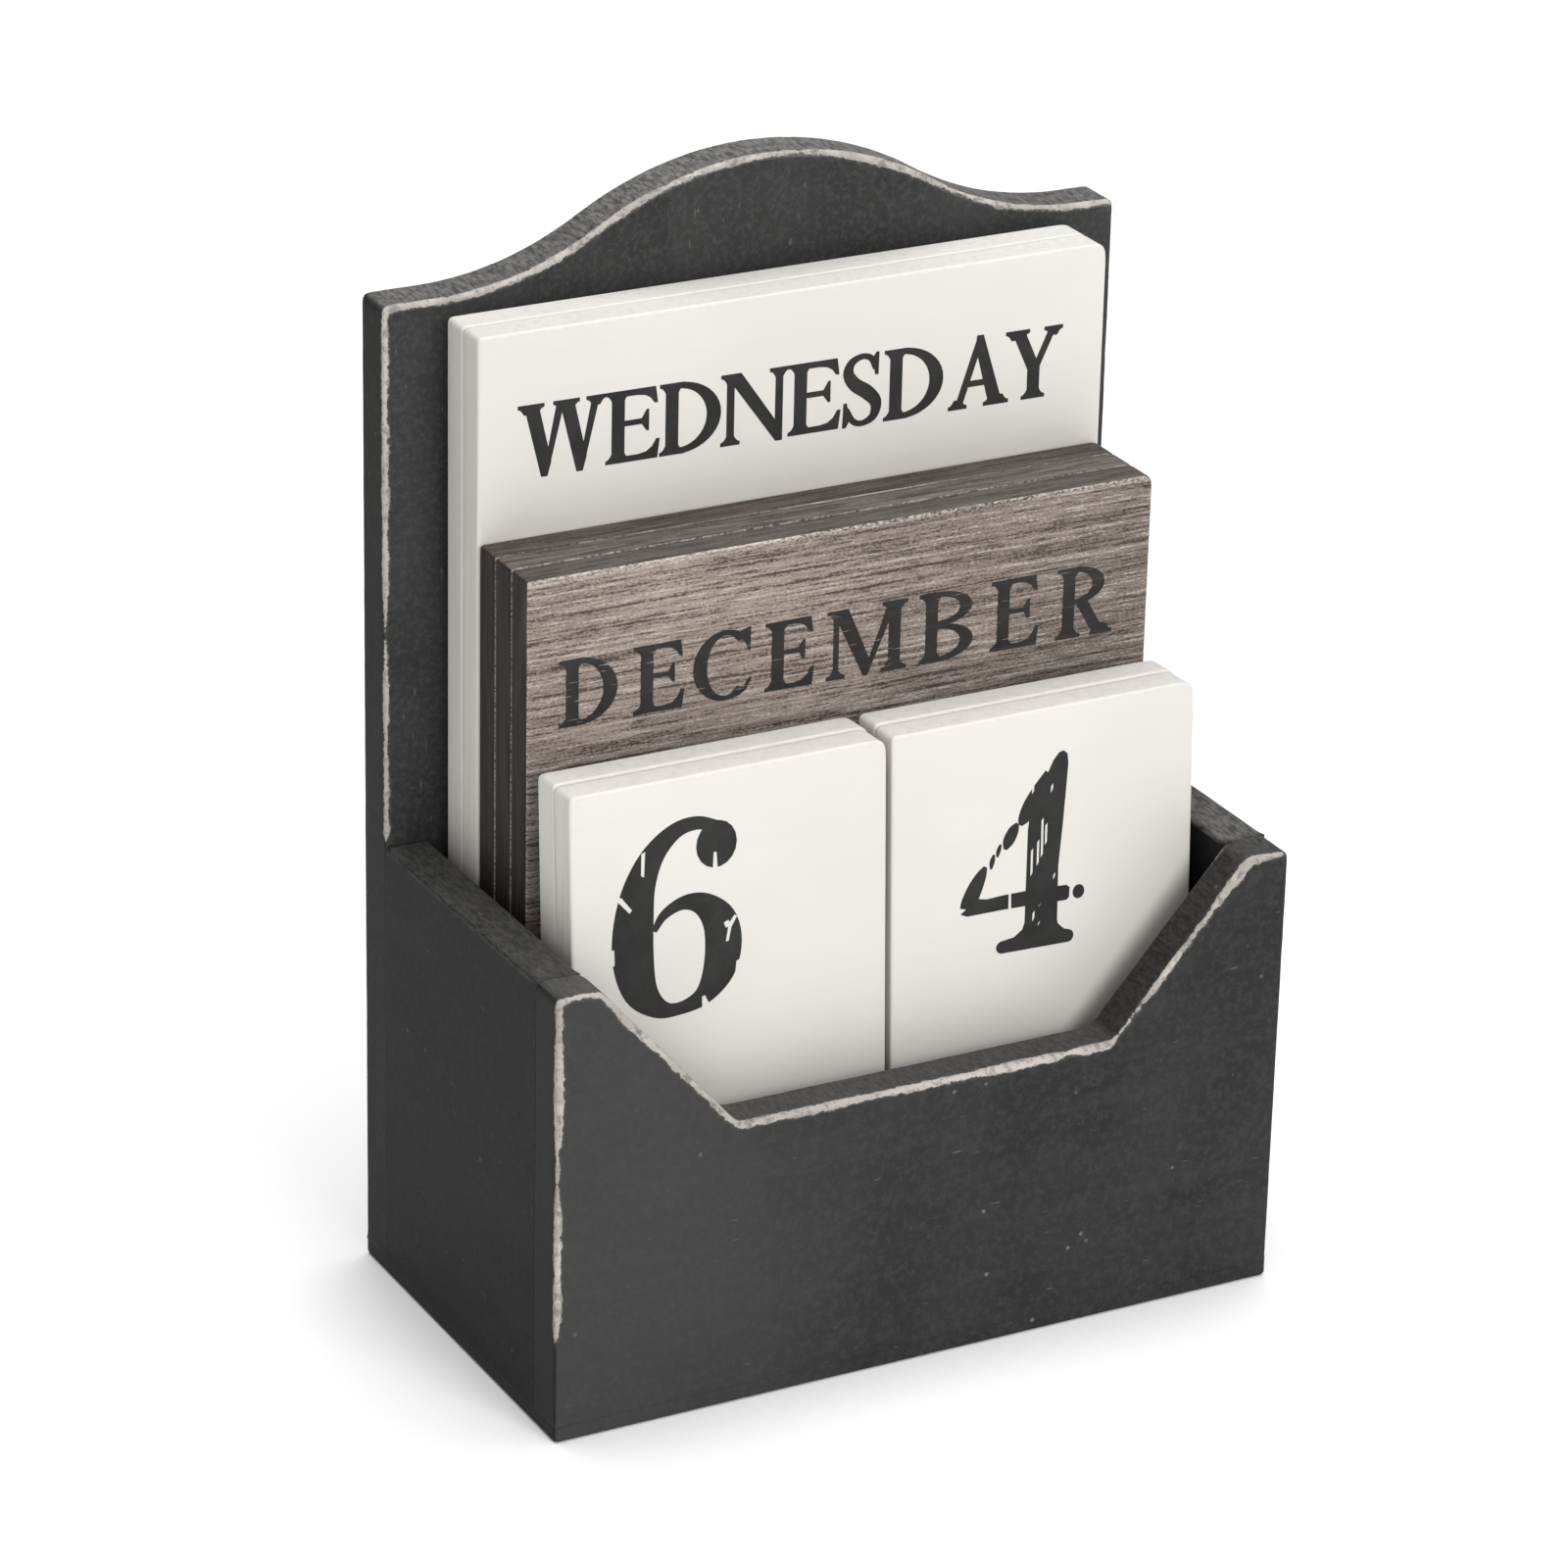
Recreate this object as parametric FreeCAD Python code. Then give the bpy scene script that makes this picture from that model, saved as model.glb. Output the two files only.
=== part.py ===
"""Wooden flip desk calendar: an open-topped box with a crowned back board,
holding loose tiles for the weekday, the month and the two digits of the date.

Frame: +Z up, +X to the right as seen from the front, front face towards -Y.
The origin is the middle of the underside. All sizes are in millimetres.
"""
import FreeCAD, Part
import math
import os

from FreeCAD import Vector

# --- the box -----------------------------------------------------------------
width = 140.0                 # over the two side boards
box_height = 82.5             # top of the side boards and of the front panel's horns
front_thickness = 8.0
side_thickness = 8.0
back_thickness = 9.0
base_thickness = 3.0
board_round = 0.7             # rounded-over edges of every board

# --- the cut-out in the front panel ------------------------------------------
cutout_depth = 29.7           # from the top of the horns down to the sill
sill_width = 72.0             # flat bottom of the cut-out
cutout_corner = 1.5           # rounding where the slopes meet the horns and the sill

# --- the crowned top of the back board ---------------------------------------
shoulder_height = 180.0
crown_rise = 17.3             # the crown stands this much above the shoulders
crown_reach = 62.0            # sideways, from the crown's middle to the foot of each flank
crown_radius = 62.0
crown_shift = 1.7             # the curve is sawn this far to the right of the middle

# --- the tiles ---------------------------------------------------------------
tile_thickness = 6.0
tile_crisp_corner = 0.8       # the two corners on the left of a tile's face
tile_corner = 2.2             # the two sanded corners on its right
tile_edge = 0.6               # rounded-over edges of a tile
tile_side_gap = 2.2           # between a row of tiles and the side board, each side
digit_gap = 1.0               # between the two stacks of digit tiles
day_drop = 2.0                # the day tiles stop this far below the shoulders
day_window = 36.0             # how much of the day tiles shows above the month tiles
month_window = 32.5           # how much of the month tiles shows above the digit tiles
day_count = 2
month_count = 3
digit_count = 2               # in each of the two stacks

# --- clearances from the front panel to the back board -----------------------
tile_gap = 0.2                # between neighbouring tiles of one stack
foot_gap = 3.9                # front panel to the foot of the digit tiles
digit_top_gap = 4.3           # top of the leaning digit tiles to the month tiles
stack_gap = 0.3               # month tiles to day tiles
back_gap = 3.0                # day tiles to the back board
standing_gap = 0.1            # under every tile
digit_lean = 2.8              # degrees that the digit tiles lean back

# --- panel pins: headed steel brads, set in and filled over ------------------
pin_diameter = 1.2
pin_head_diameter = 1.9
pin_head_height = 0.8
pin_set = 0.6                 # the head lies this far below the painted surface
front_pin_length = 20.0
back_pin_length = 20.0
base_pin_length = 14.0
pin_end_margin = 12.0         # from the ends of a joint to its first and last pin
front_pin_count = 3           # in each side board
back_pin_count = 3            # in each side board
base_pin_count = 2            # in each of the four boards that stand on the base

# --- sizes that follow from the ones above -----------------------------------
inner_width = width - 2 * side_thickness
sill_height = box_height - cutout_depth
lean = math.radians(digit_lean)

day_height = shoulder_height - day_drop - base_thickness - standing_gap
month_height = day_height - day_window
digit_height = month_height - month_window
row_width = inner_width - 2 * tile_side_gap
digit_width = (row_width - digit_gap) / 2


def stack_depth(count):
    """Front-to-back size of a stack of upright tiles."""
    return count * tile_thickness + (count - 1) * tile_gap


digit_foot_depth = stack_depth(digit_count) * math.cos(lean)
digit_run = digit_height * math.sin(lean)
depth = (front_thickness + foot_gap + digit_foot_depth + digit_run + digit_top_gap
         + stack_depth(month_count) + stack_gap + stack_depth(day_count)
         + back_gap + back_thickness)

front_y = -depth / 2
back_y = depth / 2
back_inner_y = back_y - back_thickness
front_inner_y = front_y + front_thickness
day_rear_y = back_inner_y - back_gap
month_rear_y = day_rear_y - stack_depth(day_count) - stack_gap
digit_rear_foot_y = front_inner_y + foot_gap + digit_foot_depth


# --- helpers -----------------------------------------------------------------
def block(x0, x1, y0, y1, z0, z1):
    """A box between two corners."""
    return Part.makeBox(x1 - x0, y1 - y0, z1 - z0, Vector(x0, y0, z0))


def soften(solid, radius):
    """Round over every edge, by no more than a quarter of the thinnest side."""
    box = solid.BoundBox
    limit = min(box.XLength, box.YLength, box.ZLength) / 4
    return solid.makeFillet(min(radius, limit), solid.Edges)


def plate_from_wire(wire, y_front, thickness):
    """A flat board cut to an outline that lies in the plane of its front face."""
    return Part.Face(wire).extrude(Vector(0, thickness, 0)).translated(Vector(0, y_front, 0))


def group(solids):
    """Separate identical pieces that share one node."""
    return Part.makeCompound(solids)


# --- the boards --------------------------------------------------------------
def base_board():
    board = block(-width / 2, width / 2, front_y, back_y, 0, base_thickness)
    return soften(board, board_round)


def side_board(side):
    """side is -1 for the left board and +1 for the right one."""
    outer = side * width / 2
    inner = side * inner_width / 2
    board = block(min(outer, inner), max(outer, inner), front_inner_y, back_inner_y,
                  base_thickness, box_height)
    edges = [edge for edge in board.Edges if runs_along_top(edge, board)]
    return board.makeFillet(min(board_round, side_thickness / 4), edges)


def runs_along_top(edge, board):
    """The long top edges of a side board; its other edges butt against boards."""
    box = edge.BoundBox
    return box.ZMin > board.BoundBox.ZMax - 0.01 and box.YLength > box.XLength


def front_panel():
    half = width / 2
    horn = inner_width / 2
    sill = sill_width / 2
    points = [Vector(-half, 0, base_thickness), Vector(half, 0, base_thickness),
              Vector(half, 0, box_height), Vector(horn, 0, box_height),
              Vector(sill, 0, sill_height), Vector(-sill, 0, sill_height),
              Vector(-horn, 0, box_height), Vector(-half, 0, box_height)]
    board = plate_from_wire(Part.makePolygon(points + points[:1]), front_y, front_thickness)
    corners = [edge for edge in board.Edges if is_cutout_corner(edge, horn, sill)]
    board = board.makeFillet(cutout_corner, corners)
    return soften_face_outline(board, front_y)


def is_cutout_corner(edge, horn, sill):
    """The four short edges, front to back, where the cut-out changes direction."""
    box = edge.BoundBox
    across = abs(abs(box.Center.x) - horn) < 0.01 and box.Center.z > sill_height
    bottom = abs(abs(box.Center.x) - sill) < 0.01 and abs(box.Center.z - sill_height) < 0.01
    return box.YLength > front_thickness - 0.01 and (across or bottom)


def soften_face_outline(board, face_y):
    """Round over the outline of the face that lies at face_y."""
    edges = [edge for edge in board.Edges
             if abs(edge.BoundBox.YMin - face_y) < 0.01 and abs(edge.BoundBox.YMax - face_y) < 0.01]
    return board.makeFillet(min(board_round, front_thickness / 4, back_thickness / 4), edges)


def arc_through(centre, radius, from_degrees, to_degrees):
    """An arc in the XZ plane, given by its centre, radius and two angles."""
    def at(degrees):
        angle = math.radians(degrees)
        return centre + Vector(radius * math.cos(angle), 0, radius * math.sin(angle))
    return Part.Arc(at(from_degrees), at((from_degrees + to_degrees) / 2), at(to_degrees)).toShape()


def back_board():
    """The crown is one arc that runs into a reverse arc on each flank."""
    both_radii = (crown_reach ** 2 + crown_rise ** 2) / (2 * crown_rise)
    flank_radius = both_radii - crown_radius
    turn = math.degrees(math.asin(crown_reach / both_radii))
    crown_top = shoulder_height + crown_rise
    crown_centre = Vector(crown_shift, 0, crown_top - crown_radius)
    left_foot = Vector(crown_shift - crown_reach, 0, shoulder_height)
    right_foot = Vector(crown_shift + crown_reach, 0, shoulder_height)
    left_flank = arc_through(left_foot + Vector(0, 0, flank_radius), flank_radius, 270, 270 + turn)
    crown = arc_through(crown_centre, crown_radius, 90 + turn, 90 - turn)
    right_flank = arc_through(right_foot + Vector(0, 0, flank_radius), flank_radius,
                              270 - turn, 270)
    left, right = -width / 2, width / 2
    edges = [Part.makeLine(Vector(left, 0, base_thickness), Vector(left, 0, shoulder_height)),
             Part.makeLine(Vector(left, 0, shoulder_height), left_foot),
             left_flank, crown, right_flank,
             Part.makeLine(right_foot, Vector(right, 0, shoulder_height)),
             Part.makeLine(Vector(right, 0, shoulder_height), Vector(right, 0, base_thickness)),
             Part.makeLine(Vector(right, 0, base_thickness), Vector(left, 0, base_thickness))]
    board = plate_from_wire(Part.Wire(edges), back_inner_y, back_thickness)
    board = soften_face_outline(board, back_y)
    upper = [edge for edge in board.Edges
             if abs(edge.BoundBox.YMax - back_inner_y) < 0.01 and edge.BoundBox.ZMin > shoulder_height - 0.01]
    return board.makeFillet(min(board_round, back_thickness / 4), upper)


# --- the tiles ---------------------------------------------------------------
def tile(x_left, tile_width, height, y_front):
    """An upright tile with softly rounded edges, its right corners sanded rounder."""
    plate = block(x_left, x_left + tile_width, y_front, y_front + tile_thickness, 0, height)
    middle = x_left + tile_width / 2
    for radius, side in ((tile_crisp_corner, -1), (tile_corner, 1)):
        corners = [edge for edge in plate.Edges if edge.BoundBox.YLength > tile_thickness - 0.01
                   and edge.BoundBox.XLength < 0.01 and edge.BoundBox.ZLength < 0.01
                   and side * (edge.BoundBox.Center.x - middle) > tile_width / 2 - 0.01]
        plate = plate.makeFillet(radius, corners)
    outline = [edge for edge in plate.Edges
               if edge.BoundBox.YLength < 0.01]
    plate = plate.makeFillet(min(tile_edge, tile_thickness / 4), outline)
    return plate.translated(Vector(0, 0, base_thickness + standing_gap))


def upright_tile(height, rear_y, place):
    """place counts from the back of its stack, starting at 0."""
    y_front = rear_y - place * (tile_thickness + tile_gap) - tile_thickness
    return tile(-row_width / 2, row_width, height, y_front)


def digit_tile(column, place):
    """column is 0 for the tens and 1 for the units. Each tile stands on its rear foot."""
    x_left = -row_width / 2 + column * (digit_width + digit_gap)
    foot_y = digit_rear_foot_y - place * (tile_thickness + tile_gap) / math.cos(lean)
    foot = Vector(0, foot_y, base_thickness + standing_gap)
    upright = tile(x_left, digit_width, digit_height, foot_y - tile_thickness)
    return upright.rotated(foot, Vector(1, 0, 0), -digit_lean)


# --- the panel pins ----------------------------------------------------------
def pin(length):
    """A pin that points along +Z, with the top of its head at the origin."""
    point_length = 2 * pin_diameter
    head = Part.makeCylinder(pin_head_diameter / 2, pin_head_height)
    shank = Part.makeCylinder(pin_diameter / 2, length - point_length)
    point = Part.makeCone(pin_diameter / 2, pin_diameter / 8, point_length,
                          Vector(0, 0, length - point_length))
    return head.fuse([shank, point]).removeSplitter()


def placed_pin(length, start, direction):
    """A pin whose head starts at a point and which is driven in one direction."""
    turn = FreeCAD.Rotation(Vector(0, 0, 1), direction)
    return pin(length).transformGeometry(FreeCAD.Placement(start, turn).toMatrix())


def spread(low, high, count):
    """Evenly spaced places, from one end margin to the other."""
    low, high = low + pin_end_margin, high - pin_end_margin
    return [low + (high - low) * i / (count - 1) for i in range(count)]


def pins_into_sides(length, face_y, direction, count):
    """Pins through the front panel or the back board into the ends of the side boards."""
    side_middle = (width - side_thickness) / 2
    start_y = face_y + pin_set * direction.y
    return [placed_pin(length, Vector(side * side_middle, start_y, z), direction)
            for side in (-1, 1) for z in spread(base_thickness, box_height, count)]


def base_pins():
    """Pins up through the base board into the four boards that stand on it."""
    side_middle = (width - side_thickness) / 2
    front_middle = front_y + front_thickness / 2
    back_middle = back_y - back_thickness / 2
    places = [(side * side_middle, y) for side in (-1, 1)
              for y in spread(front_inner_y, back_inner_y, base_pin_count)]
    places += [(x, y) for y in (front_middle, back_middle)
               for x in spread(-inner_width / 2, inner_width / 2, base_pin_count)]
    return [placed_pin(base_pin_length, Vector(x, y, pin_set), Vector(0, 0, 1)) for x, y in places]


def drilled(board, pins):
    """The board with a hole of each pin's own shape where the pin passes."""
    return board.cut([each for each in pins if each.BoundBox.intersect(board.BoundBox)])


# --- the whole calendar ------------------------------------------------------
def build():
    front_pins = pins_into_sides(front_pin_length, front_y, Vector(0, 1, 0), front_pin_count)
    back_pins = pins_into_sides(back_pin_length, back_y, Vector(0, -1, 0), back_pin_count)
    bottom_pins = base_pins()
    all_pins = front_pins + back_pins + bottom_pins

    boards = {"base_board": base_board(), "left_side": side_board(-1), "right_side": side_board(1),
              "front_panel": front_panel(), "back_board": back_board()}
    nodes = {name: drilled(board, all_pins) for name, board in boards.items()}

    nodes["front_pins"] = group(front_pins)
    nodes["back_pins"] = group(back_pins)
    nodes["base_pins"] = group(bottom_pins)

    for place, name in enumerate(["rear", "front"]):
        nodes["day_tile_" + name] = upright_tile(day_height, day_rear_y, place)
    for place, name in enumerate(["rear", "middle", "front"]):
        nodes["month_tile_" + name] = upright_tile(month_height, month_rear_y, place)
    for column, digit in enumerate(["tens", "units"]):
        for place, name in enumerate(["rear", "front"]):
            nodes[digit + "_tile_" + name] = digit_tile(column, place)
    return nodes


os.makedirs("parts", exist_ok=True)
for node_name, shape in build().items():
    shape.exportStep("parts/" + node_name + ".step")
    print(node_name, len(shape.Solids), "solids, volume", round(shape.Volume, 1),
          "valid", shape.isValid())
print("depth", round(depth, 2), "digit tile height", round(digit_height, 2))
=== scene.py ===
import math
import random

import bmesh
import bpy
from bpy.props import FloatProperty, FloatVectorProperty, PointerProperty
from bpy.types import Operator, Panel, PropertyGroup
from mathutils import Matrix, Vector, noise
from mathutils.geometry import delaunay_2d_cdt


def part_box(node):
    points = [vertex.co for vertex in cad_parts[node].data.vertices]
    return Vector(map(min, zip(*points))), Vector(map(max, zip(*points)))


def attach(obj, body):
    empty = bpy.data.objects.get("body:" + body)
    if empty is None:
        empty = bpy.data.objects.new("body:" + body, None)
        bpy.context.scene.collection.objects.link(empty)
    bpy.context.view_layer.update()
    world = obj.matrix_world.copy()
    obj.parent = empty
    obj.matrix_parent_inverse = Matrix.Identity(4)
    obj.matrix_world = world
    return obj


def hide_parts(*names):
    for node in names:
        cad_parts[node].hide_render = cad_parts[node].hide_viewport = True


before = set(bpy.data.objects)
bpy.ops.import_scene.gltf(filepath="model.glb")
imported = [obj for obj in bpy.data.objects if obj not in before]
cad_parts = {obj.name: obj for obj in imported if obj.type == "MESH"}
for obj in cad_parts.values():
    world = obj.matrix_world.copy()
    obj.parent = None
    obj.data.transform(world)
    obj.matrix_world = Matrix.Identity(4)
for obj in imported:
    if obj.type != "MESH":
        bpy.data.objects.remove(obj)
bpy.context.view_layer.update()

bl_info = {
    "name": "Flip desk calendar finish",
    "version": (1, 0, 0),
    "blender": (4, 5, 0),
    "location": "3D View > Sidebar > Calendar",
    "description": "Worn painted box, ivory and weathered tiles and printed lettering for a desk calendar",
    "category": "Object",
}

MM = 0.001
HOLDER = "holder"


# --------------------------------------------------------------------------
# Sizes and colours that a user would change
# --------------------------------------------------------------------------
def length(name, description, default_mm):
    return FloatProperty(name=name, description=description, default=default_mm * MM,
                         min=0.0, precision=5, subtype="DISTANCE", unit="LENGTH")


def colour(name, description, default):
    return FloatVectorProperty(name=name, description=description, default=default,
                               size=3, min=0.0, max=1.0, subtype="COLOR")


def share(name, description, default):
    return FloatProperty(name=name, description=description, default=default,
                         min=0.0, max=1.0, subtype="FACTOR")


class CALENDAR_PG_boards(PropertyGroup):
    """The painted boards of the box"""
    edge_radius: length("Edge radius", "Rounding of a sanded edge", 0.8)
    chip_depth: length("Chip depth", "How deep the worn edges are nicked", 0.16)
    crown_rise: length("Crown rise", "Height of the crown above the shoulders", 17.3)
    crown_reach: length("Crown reach", "From the crown's middle to the foot of a flank", 62.0)
    crown_radius: length("Crown radius", "Radius of the arc at the top", 62.0)
    crown_shift: length("Crown shift", "The crown stands this far right of the middle", 1.7)
    cutout_depth: length("Cut-out depth", "From the top of the front panel down to the sill", 29.7)
    sill_width: length("Sill width", "Flat bottom of the cut-out", 72.0)
    paint: colour("Paint", "Matt black paint", (0.0250, 0.0250, 0.0248))
    # Painted shade: faces that look sideways keep only this share of the paint's colour, standing in for the
    # little light that reaches them.
    painted_side_shade: colour("Side shade", "Share of the paint's colour left on faces that look sideways",
                       (0.42, 0.41, 0.41))
    rubbed: colour("Rubbed paint", "Paint worn grey on the top edges", (0.185, 0.177, 0.166))
    bare_wood: colour("Bare wood", "Board showing through the paint", (0.405, 0.380, 0.350))


class CALENDAR_PG_tiles(PropertyGroup):
    """The loose tiles"""
    corner_radius: length("Corner radius", "Corners on the left of a tile's face", 0.8)
    sanded_corner: length("Sanded corner", "Rounder corners on its right", 2.2)
    ivory_edge: length("Ivory edge", "Rounding along an ivory tile's edges", 0.48)
    month_edge: length("Month edge", "Rounding along a month tile's edges", 0.8)
    paint_dip: length("Paint dip", "How far the paint thins towards a tile's edges", 0.05)
    groove_depth: length("Groove depth", "Depth of the brushed grain in a month tile", 0.12)
    groove_pitch: length("Groove pitch", "Spacing of the rows that carry the grain", 0.36)
    ivory: colour("Ivory", "Paint of the day and digit tiles", (0.620, 0.602, 0.566))
    weathered: colour("Weathered wood", "Brushed grey-brown of the month tiles", (0.262, 0.214, 0.186))
    groove: colour("Groove", "Dark stain in the brushed grain", (0.050, 0.038, 0.033))
    dry_white: colour("Dry white", "Whitewash on the ridges of the grain", (0.56, 0.52, 0.475))
    weathered_side: colour("Weathered side", "Stained rim of the month tiles", (0.020, 0.0165, 0.0145))


class CALENDAR_PG_lettering(PropertyGroup):
    """The printed words and digits"""
    day_height: length("Day letters", "Height of the weekday letters", 12.8)
    day_drop: length("Day drop", "From the top of a day tile to the top of its letters", 12.9)
    day_span: length("Day span", "Width of the longest weekday", 104.2)
    month_height: length("Month letters", "Height of the month letters", 12.0)
    month_drop: length("Month drop", "From the top of a month tile to the top of its letters", 15.3)
    month_span: length("Month span", "Width of the longest month shown", 106.2)
    digit_height: length("Digit height", "Height of a digit", 35.1)
    digit_drop: length("Digit drop", "From the top of a digit tile to the top of its digit", 7.3)
    units_drop: length("Units drop", "The digits of the units stack are printed this much lower", 0.9)
    film: length("Ink film", "How far the ink stands proud", 0.045)
    ink: colour("Ink", "Black ink on the ivory tiles", (0.0195, 0.0190, 0.0185))
    month_ink: colour("Month ink", "Dark stain on the month tiles", (0.0220, 0.0205, 0.0200))


class CALENDAR_PG_stage(PropertyGroup):
    """Floor, light and camera"""
    camera_place: FloatVectorProperty(name="Camera place", description="Where the camera stands",
                                      default=(-0.4774, -0.87015, 0.5252), size=3,
                                      subtype="TRANSLATION", unit="LENGTH")
    camera_aim: FloatVectorProperty(name="Camera aim", description="The point in the middle of the view",
                                    default=(-0.0066, 0.00365, 0.0927), size=3,
                                    subtype="TRANSLATION", unit="LENGTH")
    camera_roll: FloatProperty(name="Camera roll", description="Turn of the camera about its view",
                               default=math.radians(1.31), subtype="ANGLE", unit="ROTATION")
    lens: FloatProperty(name="Lens", description="Focal length in millimetres on a 36 mm frame",
                        default=144.8, min=1.0)
    floor_size: length("Floor size", "Side of the square floor", 6000.0)
    floor: colour("Floor", "Pale floor", (0.93, 0.93, 0.925))


# --------------------------------------------------------------------------
# Node materials
# --------------------------------------------------------------------------
class Recipe:
    """Builds one node material; each method adds a node and gives back its output."""

    def __init__(self, name):
        self.material = bpy.data.materials.new(name)
        self.material.use_nodes = True
        self.tree = self.material.node_tree
        self.tree.nodes.clear()
        output = self.add("ShaderNodeOutputMaterial")
        self.shader = self.add("ShaderNodeBsdfPrincipled")
        self.tree.links.new(self.shader.outputs["BSDF"], output.inputs["Surface"])
        coordinates = self.add("ShaderNodeTexCoord")
        self.place, self.facing = coordinates.outputs["Object"], coordinates.outputs["Normal"]

    def add(self, kind, **settings):
        node = self.tree.nodes.new(kind)
        for key, value in settings.items():
            setattr(node, key, value)
        return node

    def feed(self, socket, value):
        if isinstance(value, bpy.types.NodeSocket):
            self.tree.links.new(value, socket)
        else:
            socket.default_value = value

    def stretched(self, scale, offset=(0.0, 0.0, 0.0)):
        node = self.add("ShaderNodeMapping")
        self.feed(node.inputs["Vector"], self.place)
        node.inputs["Scale"].default_value = scale
        node.inputs["Location"].default_value = offset
        return node.outputs["Vector"]

    def noise(self, scale, detail=3.0, roughness=0.55, place=None, twist=0.0):
        node = self.add("ShaderNodeTexNoise")
        self.feed(node.inputs["Vector"], place or self.place)
        for socket, value in (("Scale", scale), ("Detail", detail), ("Roughness", roughness),
                              ("Distortion", twist)):
            node.inputs[socket].default_value = value
        return node.outputs["Fac"]

    def grain(self, scale, detail, roughness, offset=(0.0, 0.0, 0.0), twist=0.0):
        """Noise drawn out by another scale along each axis."""
        return self.noise(1.0, detail, roughness, self.stretched(scale, offset), twist)

    def cells(self, scale):
        node = self.add("ShaderNodeTexVoronoi")
        self.feed(node.inputs["Vector"], self.place)
        node.inputs["Scale"].default_value = scale
        return node.outputs["Distance"]

    def along(self, vector, axis):
        node = self.add("ShaderNodeSeparateXYZ")
        self.feed(node.inputs["Vector"], vector)
        return node.outputs[axis]

    def math(self, operation, a, b=0.0):
        node = self.add("ShaderNodeMath", operation=operation)
        self.feed(node.inputs[0], a)
        self.feed(node.inputs[1], b)
        return node.outputs[0]

    def plus(self, a, b):
        return self.math("ADD", a, b)

    def minus(self, a, b):
        return self.math("SUBTRACT", a, b)

    def times(self, a, b):
        return self.math("MULTIPLY", a, b)

    def spread(self, value, low, high, to_low=0.0, to_high=1.0):
        node = self.add("ShaderNodeMapRange", interpolation_type="SMOOTHSTEP")
        self.feed(node.inputs["Value"], value)
        for socket, level in (("From Min", low), ("From Max", high), ("To Min", to_low), ("To Max", to_high)):
            node.inputs[socket].default_value = level
        return node.outputs["Result"]

    def blend(self, amount, first, second, how="MIX"):
        node = self.add("ShaderNodeMix", data_type="RGBA", blend_type=how)
        self.feed(node.inputs["Factor"], amount)
        for socket, value in ((node.inputs[6], first), (node.inputs[7], second)):
            self.feed(socket, value if isinstance(value, bpy.types.NodeSocket) else (*value, 1.0))
        return node.outputs[2]

    def attribute(self, name):
        return self.add("ShaderNodeAttribute", attribute_name=name).outputs["Fac"]

    def bumped(self, height, strength, distance_mm):
        node = self.add("ShaderNodeBump")
        self.feed(node.inputs["Height"], height)
        node.inputs["Strength"].default_value = strength
        node.inputs["Distance"].default_value = distance_mm * MM
        return node.outputs["Normal"]

    def finish(self, base, roughness, normal=None, specular=0.5):
        self.feed(self.shader.inputs["Base Color"], base)
        self.feed(self.shader.inputs["Roughness"], roughness)
        self.shader.inputs["Specular IOR Level"].default_value = specular
        if normal is not None:
            self.feed(self.shader.inputs["Normal"], normal)
        return self.material


def tinted(rgb, factor):
    return tuple(min(1.0, channel * factor) for channel in rgb)


SPECK = (0.20, 0.19, 0.18)            # dust caught in the black paint
SCUFF = (0.17, 0.165, 0.155)          # short grey marks left by handling
STREAK = (0.44, 0.425, 0.39)          # end grain showing through a tile's rim
GRIME = (0.40, 0.375, 0.33)
PIT = (0.37, 0.35, 0.315)
BRIGHT_STEEL = ((0.46, 0.46, 0.47), (0.60, 0.60, 0.61))
SHEEN_FROM, SHEEN_TO = 0.01, -0.06    # painted sheen grows between these places, towards the left: the paint is made lighter there to stand in for light it catches
PAINT_GRAIN = {                       # scales of the brush strokes and of the scuff marks, by the wood's run
    "across": ((14.0, 120.0, 260.0), (260.0, 1100.0, 1100.0)),
    "upright": ((260.0, 120.0, 14.0), (1100.0, 1100.0, 240.0)),
    "deep": ((260.0, 14.0, 120.0), (1100.0, 260.0, 1100.0)),
}


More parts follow.
